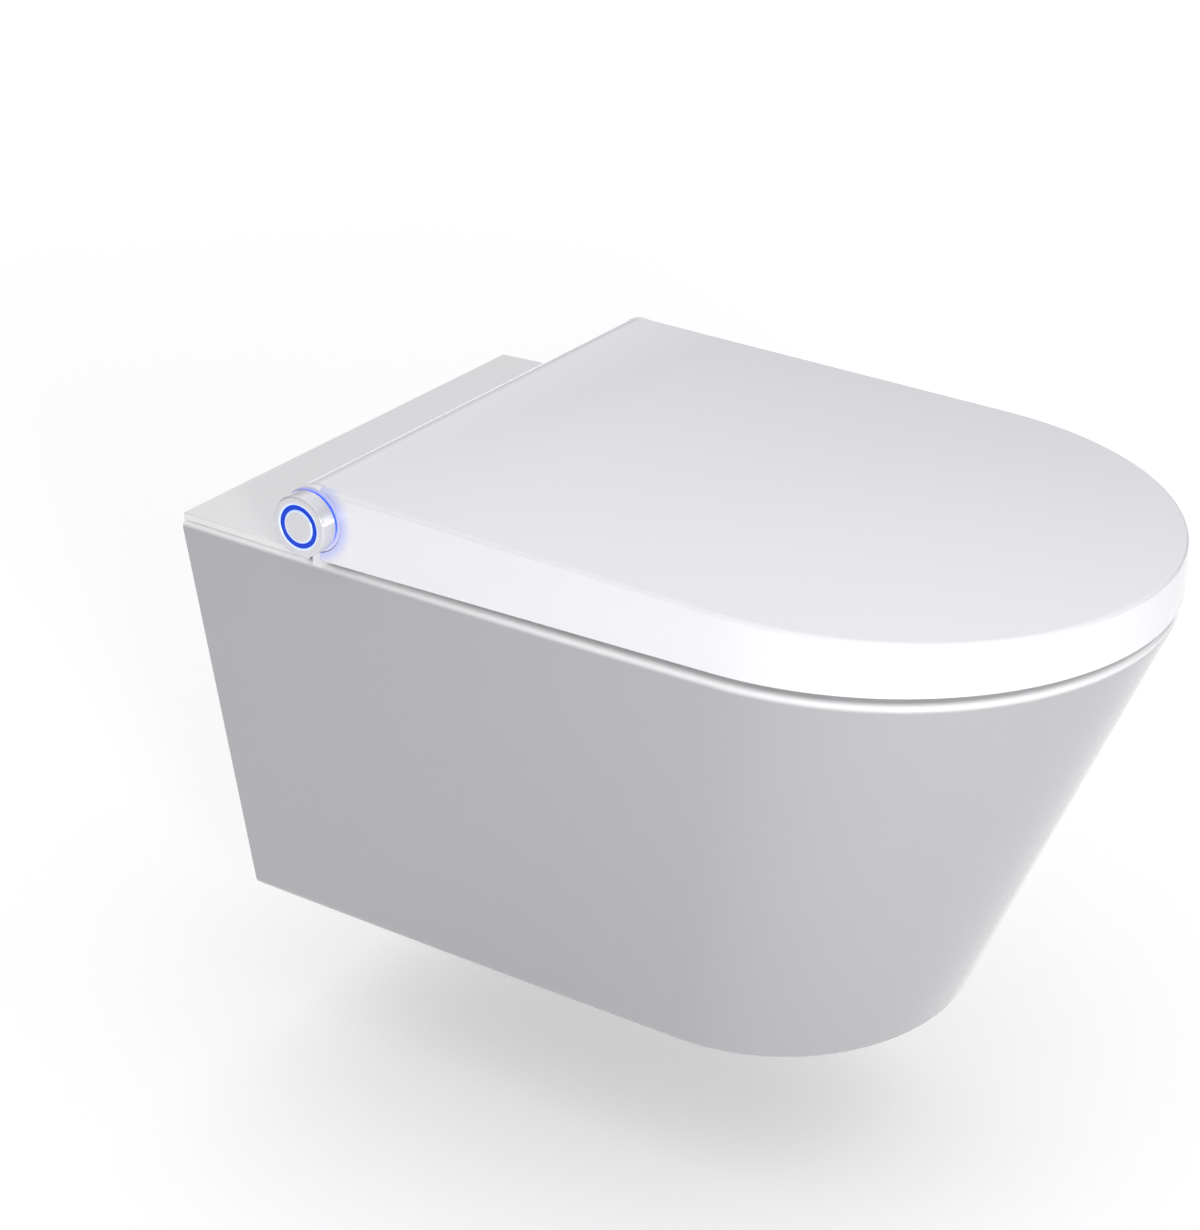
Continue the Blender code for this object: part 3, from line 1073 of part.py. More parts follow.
# ---------------------------------------------------------------- water and electrics
def make_water():
    bore, length = FITTING_BORE, FITTING_LENGTH
    flange_y = -BAY_REAR_Y + RUNNING_GAP + TRAY_WALL + GAP
    body = SUPPLY_RADIUS - 0.0045
    profile = [
        (bore + 0.002, length), (body, flange_y + 0.004), (SUPPLY_RADIUS - 0.001, flange_y + 0.004),
        (SUPPLY_RADIUS - 0.001, flange_y), (body, flange_y), (body, GAP), (bore, GAP), (bore, length),
    ]
    add("inlet_fitting", turned(profile, (-SUPPLY_X, 0, SUPPLY_Z), (0, -1, 0), 24), BRASS)
    valve = add("inlet_valve", box(VALVE_LOW, VALVE_HIGH, 0.002), BLACK_PLASTIC)
    coil = ((VALVE_LOW.x + VALVE_HIGH.x) / 2, (VALVE_LOW.y + VALVE_HIGH.y) / 2)
    join(valve, rod((*coil, VALVE_HIGH.z - 0.003), (*coil, VALVE_HIGH.z + 0.010), COIL_RADIUS, sides=24))
    heater = add("water_heater", box(HEATER_LOW, HEATER_HIGH, 0.004), GREY_PLASTIC)
    stub = Vector((0, 0, 0.004))
    join(heater, rod(HEATER_OUTLET - stub, HEATER_OUTLET + stub, FITTING_BORE))
    y, z = PUMP_Y, PUMP_Z
    pump = add("water_pump", rod((-0.142, y, z), (-0.104, y, z), PUMP_RADIUS), BLACK_PLASTIC)
    join(pump, box((-0.112, y - 0.010, z - 0.014), (-0.098, y + 0.010, z + 0.011), 0.001))
    add("heater_hose", pipe([
        (VALVE_HIGH.x + 0.0016, -0.042, RIM_Z - 0.030), (-0.086, -0.0425, RIM_Z - 0.031),
        (-0.082, -0.048, RIM_Z - 0.036), (-0.082, -0.052, RIM_Z - 0.050), (-0.082, -0.064, RIM_Z - 0.058),
        (-0.082, HEATER_HIGH.y + 0.0012, RIM_Z - 0.0585),
    ], HOSE_RADIUS), HOSE)
    guide_x = NOZZLE_X - NOZZLE_RADIUS - RUNNING_GAP - GUIDE_WALL
    add("nozzle_hose", pipe([
        (-0.090, -0.120, HEATER_HIGH.z + 0.0056), (-0.088, -0.120, RIM_Z - 0.020),
        (-0.070, -0.116, RIM_Z - 0.012), (-0.048, -0.111, RIM_Z - 0.015),
        (guide_x - 0.0013, -0.106, RIM_Z - 0.017),
    ], HOSE_RADIUS), HOSE)


def make_electrics():
    board_top = BOARD_Z + BOARD_THICKNESS
    board = add("control_board", box((-0.008, -0.090, BOARD_Z), (0.056, -0.022, board_top)), BOARD_GREEN)
    # corner x and y, width, length and height of each chip, relay and connector
    chips = (
        (0.004, -0.080, 0.014, 0.014, 0.002), (0.030, -0.078, 0.012, 0.016, 0.004),
        (0.044, -0.052, 0.010, 0.020, 0.010), (0.006, -0.048, 0.018, 0.012, 0.007),
        (0.030, -0.036, 0.016, 0.008, 0.006), (0.000, -0.028, 0.010, 0.005, 0.004),
    )
    for x, y, width, length, height in chips:
        join(board, box((x, y, BOARD_Z + 0.001), (x + width, y + length, board_top + height)))
    supply = add("power_supply", box(
        (0.068, -0.055, WELL_FLOOR_Z + 0.006), (0.144, -0.034, RIM_Z - 0.016), 0.002
    ), BLACK_PLASTIC)
    for rib in range(6):
        x = 0.076 + 0.011 * rib
        carve(supply, box((x, -0.045, RIM_Z - 0.018), (x + 0.005, -0.039, RIM_Z)))
    flange_y = -BAY_REAR_Y + RUNNING_GAP + TRAY_WALL + GAP
    body = SUPPLY_RADIUS - 0.0045
    profile = [
        (0.006, FITTING_LENGTH), (body, flange_y + 0.006), (SUPPLY_RADIUS - 0.001, flange_y + 0.004),
        (SUPPLY_RADIUS - 0.001, flange_y), (body, flange_y), (body, 0.004), (body - 0.003, GAP),
        (0.0035, GAP), (0.0035, FITTING_LENGTH),
    ]
    add("cable_gland", turned(profile, (SUPPLY_X, 0, SUPPLY_Z), (0, -1, 0), 24), BLACK_PLASTIC)
    cartridge = add("odour_filter", box(
        (-0.059, -0.092, BAY_FLOOR_Z + 0.006), (-0.034, -0.030, RIM_Z - 0.010), 0.0015
    ), UNIT_WHITE)
    for slot in range(5):
        y = -0.085 + 0.011 * slot
        carve(cartridge, box((-0.055, y, RIM_Z - 0.014), (-0.038, y + 0.005, RIM_Z)))
    lens_y = NOSE_FRONT_Y - GAP
    add("night_light", box(
        (-0.052, lens_y - 0.0022, RIM_Z - 0.028), (-0.040, lens_y, RIM_Z - 0.020), 0.0006
    ), WHITE_LIGHT)


make_pan()
make_sleeves()
make_tray()
make_gasket()
make_fixings()
make_covers()
make_hinge()
make_seat()
make_lid()
make_knob()
make_nozzle()
make_dryer()
make_water()
make_electrics()
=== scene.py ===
# %% [markdown]
# A wall-hung toilet with a built-in electric bidet seat. The working model already holds every part
# at its true size and place, so this lesson loads it, keeps it as the frame, and builds the fine
# surfaces that a viewer sees: glazed ceramic, the gloss lid and the lit knob.
# %% Load the working model
import json
import math

import bmesh
import bpy
from mathutils import Matrix, Vector


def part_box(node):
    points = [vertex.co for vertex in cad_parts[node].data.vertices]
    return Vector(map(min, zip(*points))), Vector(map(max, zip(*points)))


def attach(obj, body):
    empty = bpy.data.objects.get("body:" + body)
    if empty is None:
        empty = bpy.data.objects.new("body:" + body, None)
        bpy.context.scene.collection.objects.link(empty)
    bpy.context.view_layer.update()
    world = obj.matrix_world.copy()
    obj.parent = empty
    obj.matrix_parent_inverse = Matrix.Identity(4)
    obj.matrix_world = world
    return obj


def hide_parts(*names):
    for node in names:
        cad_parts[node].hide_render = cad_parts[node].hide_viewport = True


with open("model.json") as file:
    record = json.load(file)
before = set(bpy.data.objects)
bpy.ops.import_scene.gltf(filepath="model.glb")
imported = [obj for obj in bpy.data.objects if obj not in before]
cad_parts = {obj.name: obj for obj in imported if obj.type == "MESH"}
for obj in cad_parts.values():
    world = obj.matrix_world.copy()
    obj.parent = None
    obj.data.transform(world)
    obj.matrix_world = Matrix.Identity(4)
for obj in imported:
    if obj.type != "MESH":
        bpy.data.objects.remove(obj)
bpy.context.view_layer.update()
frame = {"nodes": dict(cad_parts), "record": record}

# %% [markdown]
# The camera and the floor come first, because every later choice is judged through them. The pan
# hangs on a wall, so the floor is where it is in a bathroom, about 415 mm below the rim.
# %% Camera and floor
AIM = Vector((0.0, -0.28, 0.015))
AZIMUTH = math.radians(-56.516)
ELEVATION = math.radians(25.347)
DISTANCE = 1.8281
SLIDE = (0.062, -0.0308)          # of the camera, to its right and upwards
LENS_MM = 80.91
SENSOR_MM = 36

back = Vector((
    math.sin(AZIMUTH) * math.cos(ELEVATION), -math.cos(AZIMUTH) * math.cos(ELEVATION), math.sin(ELEVATION)
))
right = Vector((math.cos(AZIMUTH), math.sin(AZIMUTH), 0))
up = back.cross(right)
camera = bpy.data.objects.new("camera", bpy.data.cameras.new("camera"))
bpy.context.scene.collection.objects.link(camera)
turn = Matrix((right, up, back)).transposed().to_4x4()
camera.matrix_world = Matrix.Translation(AIM - right * SLIDE[0] - up * SLIDE[1] + back * DISTANCE) @ turn
camera.data.lens = LENS_MM
camera.data.sensor_width = SENSOR_MM
bpy.context.scene.camera = camera

RIM_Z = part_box("ceramic_pan")[1][2]
FOOT_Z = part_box("ceramic_pan")[0][2]
RIM_ABOVE_FLOOR = 0.415
FLOOR_Z = RIM_Z - RIM_ABOVE_FLOOR
FLOOR_SIZE = 24.0


def new_object(name, mesh):
    obj = bpy.data.objects.new(name, mesh)
    bpy.context.scene.collection.objects.link(obj)
    return obj


def mesh_from(bm, name="mesh"):
    mesh = bpy.data.meshes.new(name)
    bm.to_mesh(mesh)
    bm.free()
    return mesh


bm = bmesh.new()
bmesh.ops.create_grid(
    bm, x_segments=1, y_segments=1, size=FLOOR_SIZE / 2, matrix=Matrix.Translation((0, 0, FLOOR_Z))
)
floor = new_object("floor", mesh_from(bm))
print(f"rim at {RIM_Z:.3f} m, foot at {FOOT_Z:.3f} m, floor at {FLOOR_Z:.3f} m")

# %% [markdown]
# Materials are sums of small ideas, so the shader maths is written as plain expressions. A Wire
# holds a socket, and adding or multiplying wires adds the Math nodes.
# %% Shader helper
BUMP_STRENGTH = 0.25


class Wire:
    def __init__(self, finish, socket):
        self.finish = finish
        self.socket = socket

    def math(self, operation, other, swap=False):
        values = (other, self) if swap else (self, other)
        return self.finish.node("ShaderNodeMath", {"operation": operation}, {0: values[0], 1: values[1]})

    def __add__(self, other):
        return self.math("ADD", other)

    __radd__ = __add__

    def __sub__(self, other):
        return self.math("SUBTRACT", other)

    def __rsub__(self, other):
        return self.math("SUBTRACT", other, swap=True)

    def __mul__(self, other):
        return self.math("MULTIPLY", other)

    __rmul__ = __mul__


class Finish:
    """One material: its nodes, and the Principled shader that they feed."""

    def __init__(self, name, **fixed):
        self.material = bpy.data.materials.new(name)
        self.material.use_nodes = True
        self.tree = self.material.node_tree
        self.shader = self.tree.nodes["Principled BSDF"]
        for socket, value in fixed.items():
            self.shader.inputs[socket.replace("_", " ")].default_value = value
        self.place = self.node("ShaderNodeTexCoord", {}, {}, "Object")

    def node(self, kind, settings, sockets, output=0):
        node = self.tree.nodes.new(kind)
        for name, value in settings.items():
            setattr(node, name, value)
        for name, value in sockets.items():
            if isinstance(value, Wire):
                self.tree.links.new(value.socket, node.inputs[name])
            else:
                node.inputs[name].default_value = value
        return Wire(self, node.outputs[output])

    def noise(self, scale, detail=2.0):
        return self.node(
            "ShaderNodeTexNoise", {}, {"Vector": self.place, "Scale": scale, "Detail": detail}
        )

    def blend(self, factor, first, second):
        """Mix two colours, each a plain colour or a wire."""
        first, second = (end if isinstance(end, Wire) else (*end, 1) for end in (first, second))
        return self.node("ShaderNodeMix", {"data_type": "RGBA"}, {0: factor, 6: first, 7: second}, 2)

    def feed(self, socket, wire):
        self.tree.links.new(wire.socket, self.shader.inputs[socket])

    def bump(self, height, distance):
        self.feed("Normal", self.node(
            "ShaderNodeBump", {}, {"Strength": BUMP_STRENGTH, "Distance": distance, "Height": height}
        ))


def tinted(name, light, dark, roughness, spread, patch_scale, grain_scale, relief, **fixed):
    """A finish whose colour drifts softly, whose gloss varies and whose surface has a fine relief."""
    finish = Finish(name, **fixed)
    patches = finish.noise(patch_scale, 3.0)
    grain = finish.noise(grain_scale, 4.0)
    finish.feed("Base Color", finish.blend(patches, light, dark))
    finish.feed("Roughness", grain * spread + (roughness - spread / 2))
    finish.bump(grain, relief)
    return finish.material


# %% [markdown]
# Each finish of the real object: thick glossy glaze with a faint orange peel, injection-moulded
# gloss plastic for the lid, satin plastic for the unit, pearl for the knob, lit plastics for the
# ring and the pointer, and plain engineering materials for what is inside. The knob's light falls
# off with distance from the hinge axis, so the axis is placed first.
# %% Finishes
HINGE_Y = -0.118
HINGE_Z = RIM_Z + 0.032
# A painted highlight along the rim's round edge: the glaze's base colour pales towards the rim top.
RIM_HIGHLIGHT_DEPTHS = (0.0055, 0.0015)            # below the rim: where the painted highlight on the round edge starts, and is brightest
RIM_HIGHLIGHT_COLOUR = (0.90, 0.90, 0.91)
LID_LIT_RADII = (0.019, 0.033)           # from the hinge axis: fully lit, and no longer lit
LID_LIT_X = (-0.1885, -0.180)            # the same, inwards from the lid's left side
LID_LIT_SHARE = 0.5
LID_LIT_COLOUR = (0.24, 0.32, 0.92)
RING_OUT, RING_IN = 0.014, 0.0113        # radii of the lit ring
GLOW_REACH = 0.0022
GLOW_COLOUR = (0.21, 0.40, 0.95)


def fade(finish, value, start, end, low, high):
    """A wire that runs smoothly from low to high while a value runs from start to end."""
    return finish.node("ShaderNodeMapRange", {"interpolation_type": "SMOOTHERSTEP"}, {
        "Value": value, "From Min": start, "From Max": end, "To Min": low, "To Max": high,
    })


def hinge_radius(finish):
    """Distance from the hinge axis, which the knob's light shines round."""
    axis = (0, HINGE_Y, HINGE_Z)
    centred = finish.node("ShaderNodeVectorMath", {"operation": "SUBTRACT"}, {0: finish.place, 1: axis})
    flat = finish.node("ShaderNodeVectorMath", {"operation": "MULTIPLY"}, {0: centred, 1: (0, 1, 1)})
    return finish.node("ShaderNodeVectorMath", {"operation": "LENGTH"}, {0: flat}, "Value")


def glaze():
    """Thick cold-white glaze, given a grey base colour as painted shade, and a painted highlight that pales
    it towards the top of the rim's round edge.
    """
    finish = Finish("glaze", Coat_Weight=0.5, Coat_Roughness=0.03, Specular_IOR_Level=0.55)
    # painted shade: the glaze's base colour is a mid grey, far darker than white ceramic, to stand in for the
    # shade that the pan's sides are in
    body = finish.blend(finish.noise(2.2, 3.0), (0.39, 0.395, 0.41), (0.36, 0.37, 0.385))
    height = finish.node("ShaderNodeSeparateXYZ", {}, {"Vector": finish.place}, "Z")
    # painted highlight: the base colour pales to near white over the last few millimetres below the rim top,
    # where the round edge catches the light
    rim_highlight = fade(finish, height, RIM_Z - RIM_HIGHLIGHT_DEPTHS[0], RIM_Z - RIM_HIGHLIGHT_DEPTHS[1], 0.0, 1.0)
    finish.feed("Base Color", finish.blend(rim_highlight, body, RIM_HIGHLIGHT_COLOUR))
    grain = finish.noise(26.0, 4.0)
    finish.feed("Roughness", grain * 0.04 + 0.07)
    finish.bump(grain, 0.00006)
    return finish.material


def lid_gloss():
    """Gloss plastic, tinted blue where the knob's light falls on the lid's left side."""
    finish = Finish("lid_gloss", Coat_Weight=0.4, Coat_Roughness=0.04)
    body = finish.blend(finish.noise(1.8, 3.0), (0.80, 0.80, 0.825), (0.78, 0.78, 0.81))
    across = finish.node("ShaderNodeSeparateXYZ", {}, {"Vector": finish.place}, "X")
    near_knob = fade(finish, hinge_radius(finish), *LID_LIT_RADII, LID_LIT_SHARE, 0.0)
    at_side = fade(finish, across, *LID_LIT_X, 1.0, 0.0)
    finish.feed("Base Color", finish.blend(near_knob * at_side, body, LID_LIT_COLOUR))
    grain = finish.noise(40.0, 4.0)
    finish.feed("Roughness", grain * 0.04 + 0.10)
    finish.bump(grain, 0.00004)
    return finish.material


GLAZE = glaze()
LID_GLOSS = lid_gloss()
SEAT_GLOSS = tinted("seat_gloss", (0.83, 0.83, 0.84), (0.80, 0.80, 0.82), 0.2, 0.06, 3.0, 60.0, 0.00004)
UNIT_SATIN = tinted("unit_satin", (0.80, 0.80, 0.80), (0.77, 0.77, 0.78), 0.32, 0.08, 4.0, 500.0, 0.00006)


def lit_pearl(name, lit_edge, reach):
    """Pearl plastic that glows pale blue at one radius from the knob's axis and fades over a reach."""
    finish = Finish(name, Metallic=0.35, Coat_Weight=0.6, Coat_Roughness=0.08)
    grain = finish.noise(900.0, 4.0)
    finish.feed("Base Color", finish.blend(finish.noise(60.0, 3.0), (0.68, 0.68, 0.70), (0.60, 0.61, 0.66)))
    finish.feed("Roughness", grain * 0.08 + 0.2)
    finish.bump(grain, 0.00003)
    finish.shader.inputs["Emission Strength"].default_value = 1.0
    lit = fade(finish, hinge_radius(finish), lit_edge, lit_edge + reach, 1.0, 0.0)
    finish.feed("Emission Color", finish.blend(lit, (0, 0, 0), GLOW_COLOUR))
    return finish.material


KNOB_PEARL = lit_pearl("knob_pearl", RING_OUT, GLOW_REACH)
CAP_PEARL = lit_pearl("cap_pearl", RING_IN, -GLOW_REACH)
STEEL = tinted(
    "steel", (0.60, 0.60, 0.61), (0.50, 0.50, 0.52), 0.28, 0.14, 30.0, 700.0, 0.00004, Metallic=1.0
)
RUBBER = tinted("rubber", (0.20, 0.20, 0.21), (0.15, 0.15, 0.16), 0.72, 0.12, 40.0, 900.0, 0.0001)
BLACK_PLASTIC = tinted(
    "black_plastic", (0.05, 0.05, 0.055), (0.035, 0.035, 0.04), 0.5, 0.14, 30.0, 900.0, 0.0001
)
GREY_PLASTIC = tinted(
    "grey_plastic", (0.42, 0.43, 0.45), (0.37, 0.38, 0.40), 0.46, 0.12, 30.0, 800.0, 0.0001
)
BOARD = tinted("board", (0.03, 0.20, 0.08), (0.02, 0.14, 0.06), 0.4, 0.1, 120.0, 700.0, 0.00005)
BRASS = tinted("brass", (0.72, 0.56, 0.28), (0.60, 0.45, 0.22), 0.3, 0.14, 60.0, 700.0, 0.00004, Metallic=1.0)
FOIL = tinted("foil", (0.75, 0.75, 0.77), (0.65, 0.65, 0.68), 0.34, 0.16, 60.0, 300.0, 0.0002, Metallic=1.0)
HOSE = tinted("hose", (0.62, 0.65, 0.70), (0.52, 0.56, 0.62), 0.4, 0.12, 60.0, 600.0, 0.00005)
BLUE_LIGHT = tinted("blue_light", (0.002, 0.012, 0.16), (0.002, 0.02, 0.22), 0.35, 0.08, 80.0, 600.0, 0.00002,
                    Emission_Color=(0.002, 0.035, 0.42, 1), Emission_Strength=1.0, Specular_IOR_Level=0.2)
GLOW = tinted("knob_glow", (0.01, 0.05, 0.5), (0.01, 0.06, 0.6), 0.4, 0.08, 80.0, 600.0, 0.00002,
              Emission_Color=(0.03, 0.10, 0.9, 1), Emission_Strength=1.0)
WHITE_LIGHT = tinted("white_light", (0.9, 0.93, 1.0), (0.85, 0.9, 1.0), 0.3, 0.08, 80.0, 600.0, 0.00002,
                     Emission_Color=(0.85, 0.92, 1.0, 1), Emission_Strength=1.6)
FLOOR = tinted("floor", (0.93, 0.915, 0.92), (0.92, 0.905, 0.91), 0.8, 0.1, 0.6, 8.0, 0.0001,
               Emission_Color=(1.0, 0.99, 0.99, 1), Emission_Strength=0.16)
floor.data.materials.append(FLOOR)
print(len(bpy.data.materials), "finishes")

# %% [markdown]
# Soft studio light: a sky that is bright overhead and dark at the horizon, so that level surfaces
# and the floor are pale and upright ones are not. A large panel behind on the right is mirrored in
# the lid's top, and a small key from the front left brightens the lid's front edge and the glaze
# below it. The Standard view keeps whites white, as in a catalogue.
# %% Light
bpy.context.scene.view_settings.view_transform = "Standard"
SKY_TOP = 1.2
SKY_HORIZON = 0.0
SKY_RISE = (0.15, 0.95)                  # the heights between which the sky brightens
SKY_COLOUR = (0.985, 0.985, 1.0)

world = bpy.data.worlds.new("studio")
bpy.context.scene.world = world
world.use_nodes = True
sky = world.node_tree
sky_place = sky.nodes.new("ShaderNodeTexCoord")
sky_split = sky.nodes.new("ShaderNodeSeparateXYZ")
sky_height = sky.nodes.new("ShaderNodeMapRange")
sky_height.interpolation_type = "SMOOTHSTEP"
sky_height.inputs["From Min"].default_value, sky_height.inputs["From Max"].default_value = SKY_RISE
sky_height.inputs["To Min"].default_value = SKY_HORIZON
sky_height.inputs["To Max"].default_value = SKY_TOP
sky.links.new(sky_place.outputs["Generated"], sky_split.inputs["Vector"])
sky.links.new(sky_split.outputs["Z"], sky_height.inputs["Value"])
sky.links.new(sky_height.outputs["Result"], sky.nodes["Background"].inputs["Strength"])
sky.nodes["Background"].inputs["Color"].default_value = (*SKY_COLOUR, 1)


def soft_light(name, place, target, size, power, colour):
    data = bpy.data.lights.new(name, "AREA")
    data.shape = "RECTANGLE"
    data.size, data.size_y = size
    data.energy = power
    data.color = colour
    lamp = bpy.data.objects.new(name, data)
    bpy.context.scene.collection.objects.link(lamp)
    lamp.location = place
    lamp.rotation_euler = (Vector(target) - Vector(place)).to_track_quat("-Z", "Y").to_euler()


soft_light(
    "back_wall", place=(3.6, 2.4, 1.9), target=(0, -0.3, 0.1), size=(8.0, 5.0), power=58,
    colour=(0.99, 0.99, 1.0),
)
soft_light(
    "front_key", place=(-1.6, -1.9, 0.55), target=(0, -0.45, 0.05), size=(0.4, 0.7), power=27,
    colour=(1.0, 0.985, 0.975),
)
print("lights", [(lamp.name, lamp.energy) for lamp in bpy.data.lights])

# %% [markdown]
# The pan, lid and seat share one kind of outline: straight sides and a half-oval front. A loop of
# that outline is drawn once, and solids are made by bridging loops at different heights.
# %% Outline tools
SIDE_STEPS = 12           # along each straight side
ARC_STEPS = 96            # round the front
CLEAR = 0.01              # a cut passes the face that it opens by this much
SEAM = 0.0002             # and joined solids overlap by this much
HAIR = 0.0001


def outline(half_rear, half_wide, rear_y, wide_y, front_y, z, inset=0.0):
    """A D-shaped ring of points; z is a number or a function of y."""
    height = z if callable(z) else lambda y: z
    side = []
    for step in range(SIDE_STEPS):
        y = rear_y + (wide_y - rear_y) * step / SIDE_STEPS
        share = ((y - wide_y) / (rear_y - wide_y)) ** 2
        side.append((half_wide - (half_wide - half_rear) * share - inset, y))
    arc = []
    for step in range(ARC_STEPS + 1):
        angle = math.pi * step / ARC_STEPS
        arc.append((
            -(half_wide - inset) * math.cos(angle), wide_y - (wide_y - front_y - inset) * math.sin(angle)
        ))
    points = [(-x, y) for x, y in side] + arc + side[::-1]
    return [Vector((x, y, height(y))) for x, y in points]


def oval(half_width, rear_y, front_y, z, grow=0.0, steps=128):
    """An oval ring of points, grown outwards all round."""
    middle, half_length = (rear_y + front_y) / 2, (rear_y - front_y) / 2 + grow
    half_width += grow
    angles = [2 * math.pi * step / steps for step in range(steps)]
    return [Vector((half_width * math.cos(a), middle + half_length * math.sin(a), z)) for a in angles]


def bridged(rings):
    """A closed solid through rings of points."""
    bm = bmesh.new()
    loops = []
    for ring in rings:
        verts = [bm.verts.new(p) for p in ring]
        loops.append([bm.edges.new((verts[i - 1], verts[i])) for i in range(len(verts))])
    for low, high in zip(loops, loops[1:]):
        bmesh.ops.bridge_loops(bm, edges=low + high)
    for edge_loop in (loops[0], loops[-1]):
        bmesh.ops.contextual_create(bm, geom=edge_loop)
    bmesh.ops.recalc_face_normals(bm, faces=bm.faces)
    return mesh_from(bm)


def block(low, high):
    """A box between two corners."""
    low, high = Vector(low), Vector(high)
    place = Matrix.Translation((low + high) / 2) @ Matrix.Diagonal((*(high - low), 1))
    bm = bmesh.new()
    bmesh.ops.create_cube(bm, size=1, matrix=place)
    return mesh_from(bm)


def bar(start, end, radius, sides=96):
    """A round bar between two points."""
    start, end = Vector(start), Vector(end)
    along = end - start
    place = Matrix.Translation((start + end) / 2) @ along.to_track_quat("Z", "Y").to_matrix().to_4x4()
    bm = bmesh.new()
    bmesh.ops.create_cone(
        bm, cap_ends=True, segments=sides, radius1=radius, radius2=radius, depth=along.length, matrix=place
    )
    return mesh_from(bm)


def worked(mesh, steps):
    """A mesh after a list of ("DIFFERENCE" or "UNION", tool mesh) Booleans."""
    obj = new_object("work", mesh)
    tools = []
    for operation, tool_mesh in steps:
        tool = new_object("tool", tool_mesh)
        tools.append(tool)
        boolean = obj.modifiers.new("boolean", "BOOLEAN")
        boolean.operation = operation
        boolean.solver = "EXACT"
        boolean.object = tool
    bpy.context.view_layer.update()
    result = bpy.data.meshes.new_from_object(obj.evaluated_get(bpy.context.evaluated_depsgraph_get()))
    for leftover in [obj, *tools]:
        bpy.data.objects.remove(leftover, do_unlink=True)
    return result


BODIES = frame["record"]["behaviour"]["bodies"]
BODY_OF = {node: body for body, nodes in BODIES.items() for node in nodes}
SLOT_OF = {row["node"]: row["material_slot"] for row in frame["record"]["subparts"]}


def finish_piece(name, mesh, material, node, smooth_angle=30.0):
    """Name a fine mesh, shade it, and let it stand for its node."""
    mesh.materials.clear()
    mesh.materials.append(material)
    mesh.shade_smooth()
    mesh.set_sharp_from_angle(angle=math.radians(smooth_angle))
    piece = new_object(name, mesh)
    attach(piece, BODY_OF[node])
    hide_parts(node)
    return piece


def quarter(radius, steps=6):
    """(inset, drop) pairs round an edge, from its side to its top."""
    angles = [math.pi / 2 * step / steps for step in range(steps + 1)]
    return [(radius * (1 - math.cos(a)), radius * (1 - math.sin(a))) for a in angles]


# %% [markdown]
# The pan is slip-cast: its sides are straight lines from a small foot outline to a wide rim outline,
# so bridging two outlines gives it exactly. Small rounds at the rim and foot catch the light. The
# bowl, the compartment for the seat unit and the wall connections are then cut out.
# %% Ceramic pan
RIM_ROUND = 0.006
FOOT_ROUND = 0.007
FOOT = dict(half_rear=0.128, half_wide=0.131, wide_y=-0.352, front_y=-0.479)
RIM = dict(half_rear=0.180, half_wide=0.190, wide_y=-0.407, front_y=-0.600)
BOWL = dict(half_width=0.135, rear_y=-0.215, front_y=-0.560)
SUMP = dict(half_width=0.038, rear_y=-0.185, front_y=-0.285)
SUMP_Z = -0.125
BOWL_STEPS = 24
BOWL_FULLNESS = (2.2, 0.75)              # exponents of the bowl's wall, from the sump to the rim
BOWL_LIP = (                             # (below the rim, outwards) round the bowl's upper edge
    (0.004, 0), (0.0028, 0.0003), (0.0016, 0.0011), (0.0008, 0.0021), (0.0002, 0.0036), (-0.02, 0.0042),
)


def pan_outline(z, inset=0.0):
    share = (z - FOOT_Z) / (RIM_Z - FOOT_Z)
    size = {key: FOOT[key] + (RIM[key] - FOOT[key]) * share for key in FOOT}
    return outline(rear_y=0.0, z=z, inset=inset, **size)


rings = [pan_outline(FOOT_Z + drop, inset) for inset, drop in reversed(quarter(FOOT_ROUND))]
rings += [pan_outline(RIM_Z - drop, inset) for inset, drop in quarter(RIM_ROUND)]
pan_mesh = bridged(rings)

bowl_rings = []
for step in range(BOWL_STEPS):
    depth = 1 - step / BOWL_STEPS
    share = (1 - depth**BOWL_FULLNESS[0]) ** BOWL_FULLNESS[1]
    size = {key: SUMP[key] + (BOWL[key] - SUMP[key]) * share for key in SUMP}
    bowl_rings.append(oval(z=RIM_Z + (SUMP_Z - RIM_Z) * depth, **size))
bowl_rings += [oval(z=RIM_Z - drop, grow=grow, **BOWL) for drop, grow in BOWL_LIP]

ABOVE = RIM_Z + CLEAR
BAY_X, BAY_FLOOR_Z = 0.150, 0.071        # the compartment for the seat unit
BAY_Y = (-0.014, -0.185)
SHELF_X, SHELF_DEPTH = 0.170, 0.0045     # the step in the rim that the unit's covers lie in
SHELF_Y = (-0.005, -0.200)
NOSE_X, NOSE_Y, NOSE_OVERLAP = 0.060, -0.265, 0.01
WELL_X, WELL_Y, WELL_Z = 0.062, -0.150, 0.030
FLUSH_Z, FLUSH_Y, FLUSH_R = 0.035, -0.235, 0.0275
WASTE_Z = -0.100
WASTE_SOCKET_Y, WASTE_SOCKET_R = -0.032, 0.043
WASTE_END_Y, WASTE_RISE, WASTE_R = -0.12, 0.03, 0.027
STUD_X, STUD_Y, STUD_R = 0.090, -0.085, 0.0093
FLANGE_Y, FLANGE_R = -0.0046, 0.0123     # the seat of each stud sleeve's flange
POCKET_X, POCKET_Y, POCKET_Z = (0.064, 0.108), -0.120, (-0.150, -0.036)
FITTING_X, FITTING_Y, FITTING_Z, FITTING_R = 0.110, -0.03, 0.085, 0.014
PLUG_X, PLUG_Y, PLUG_Z, PLUG_R = 0.1635, -0.172, 0.085, 0.0053
BORE_SIDES, PLUG_SIDES = 48, 32
PAN_SMOOTH = 25.0                        # degrees

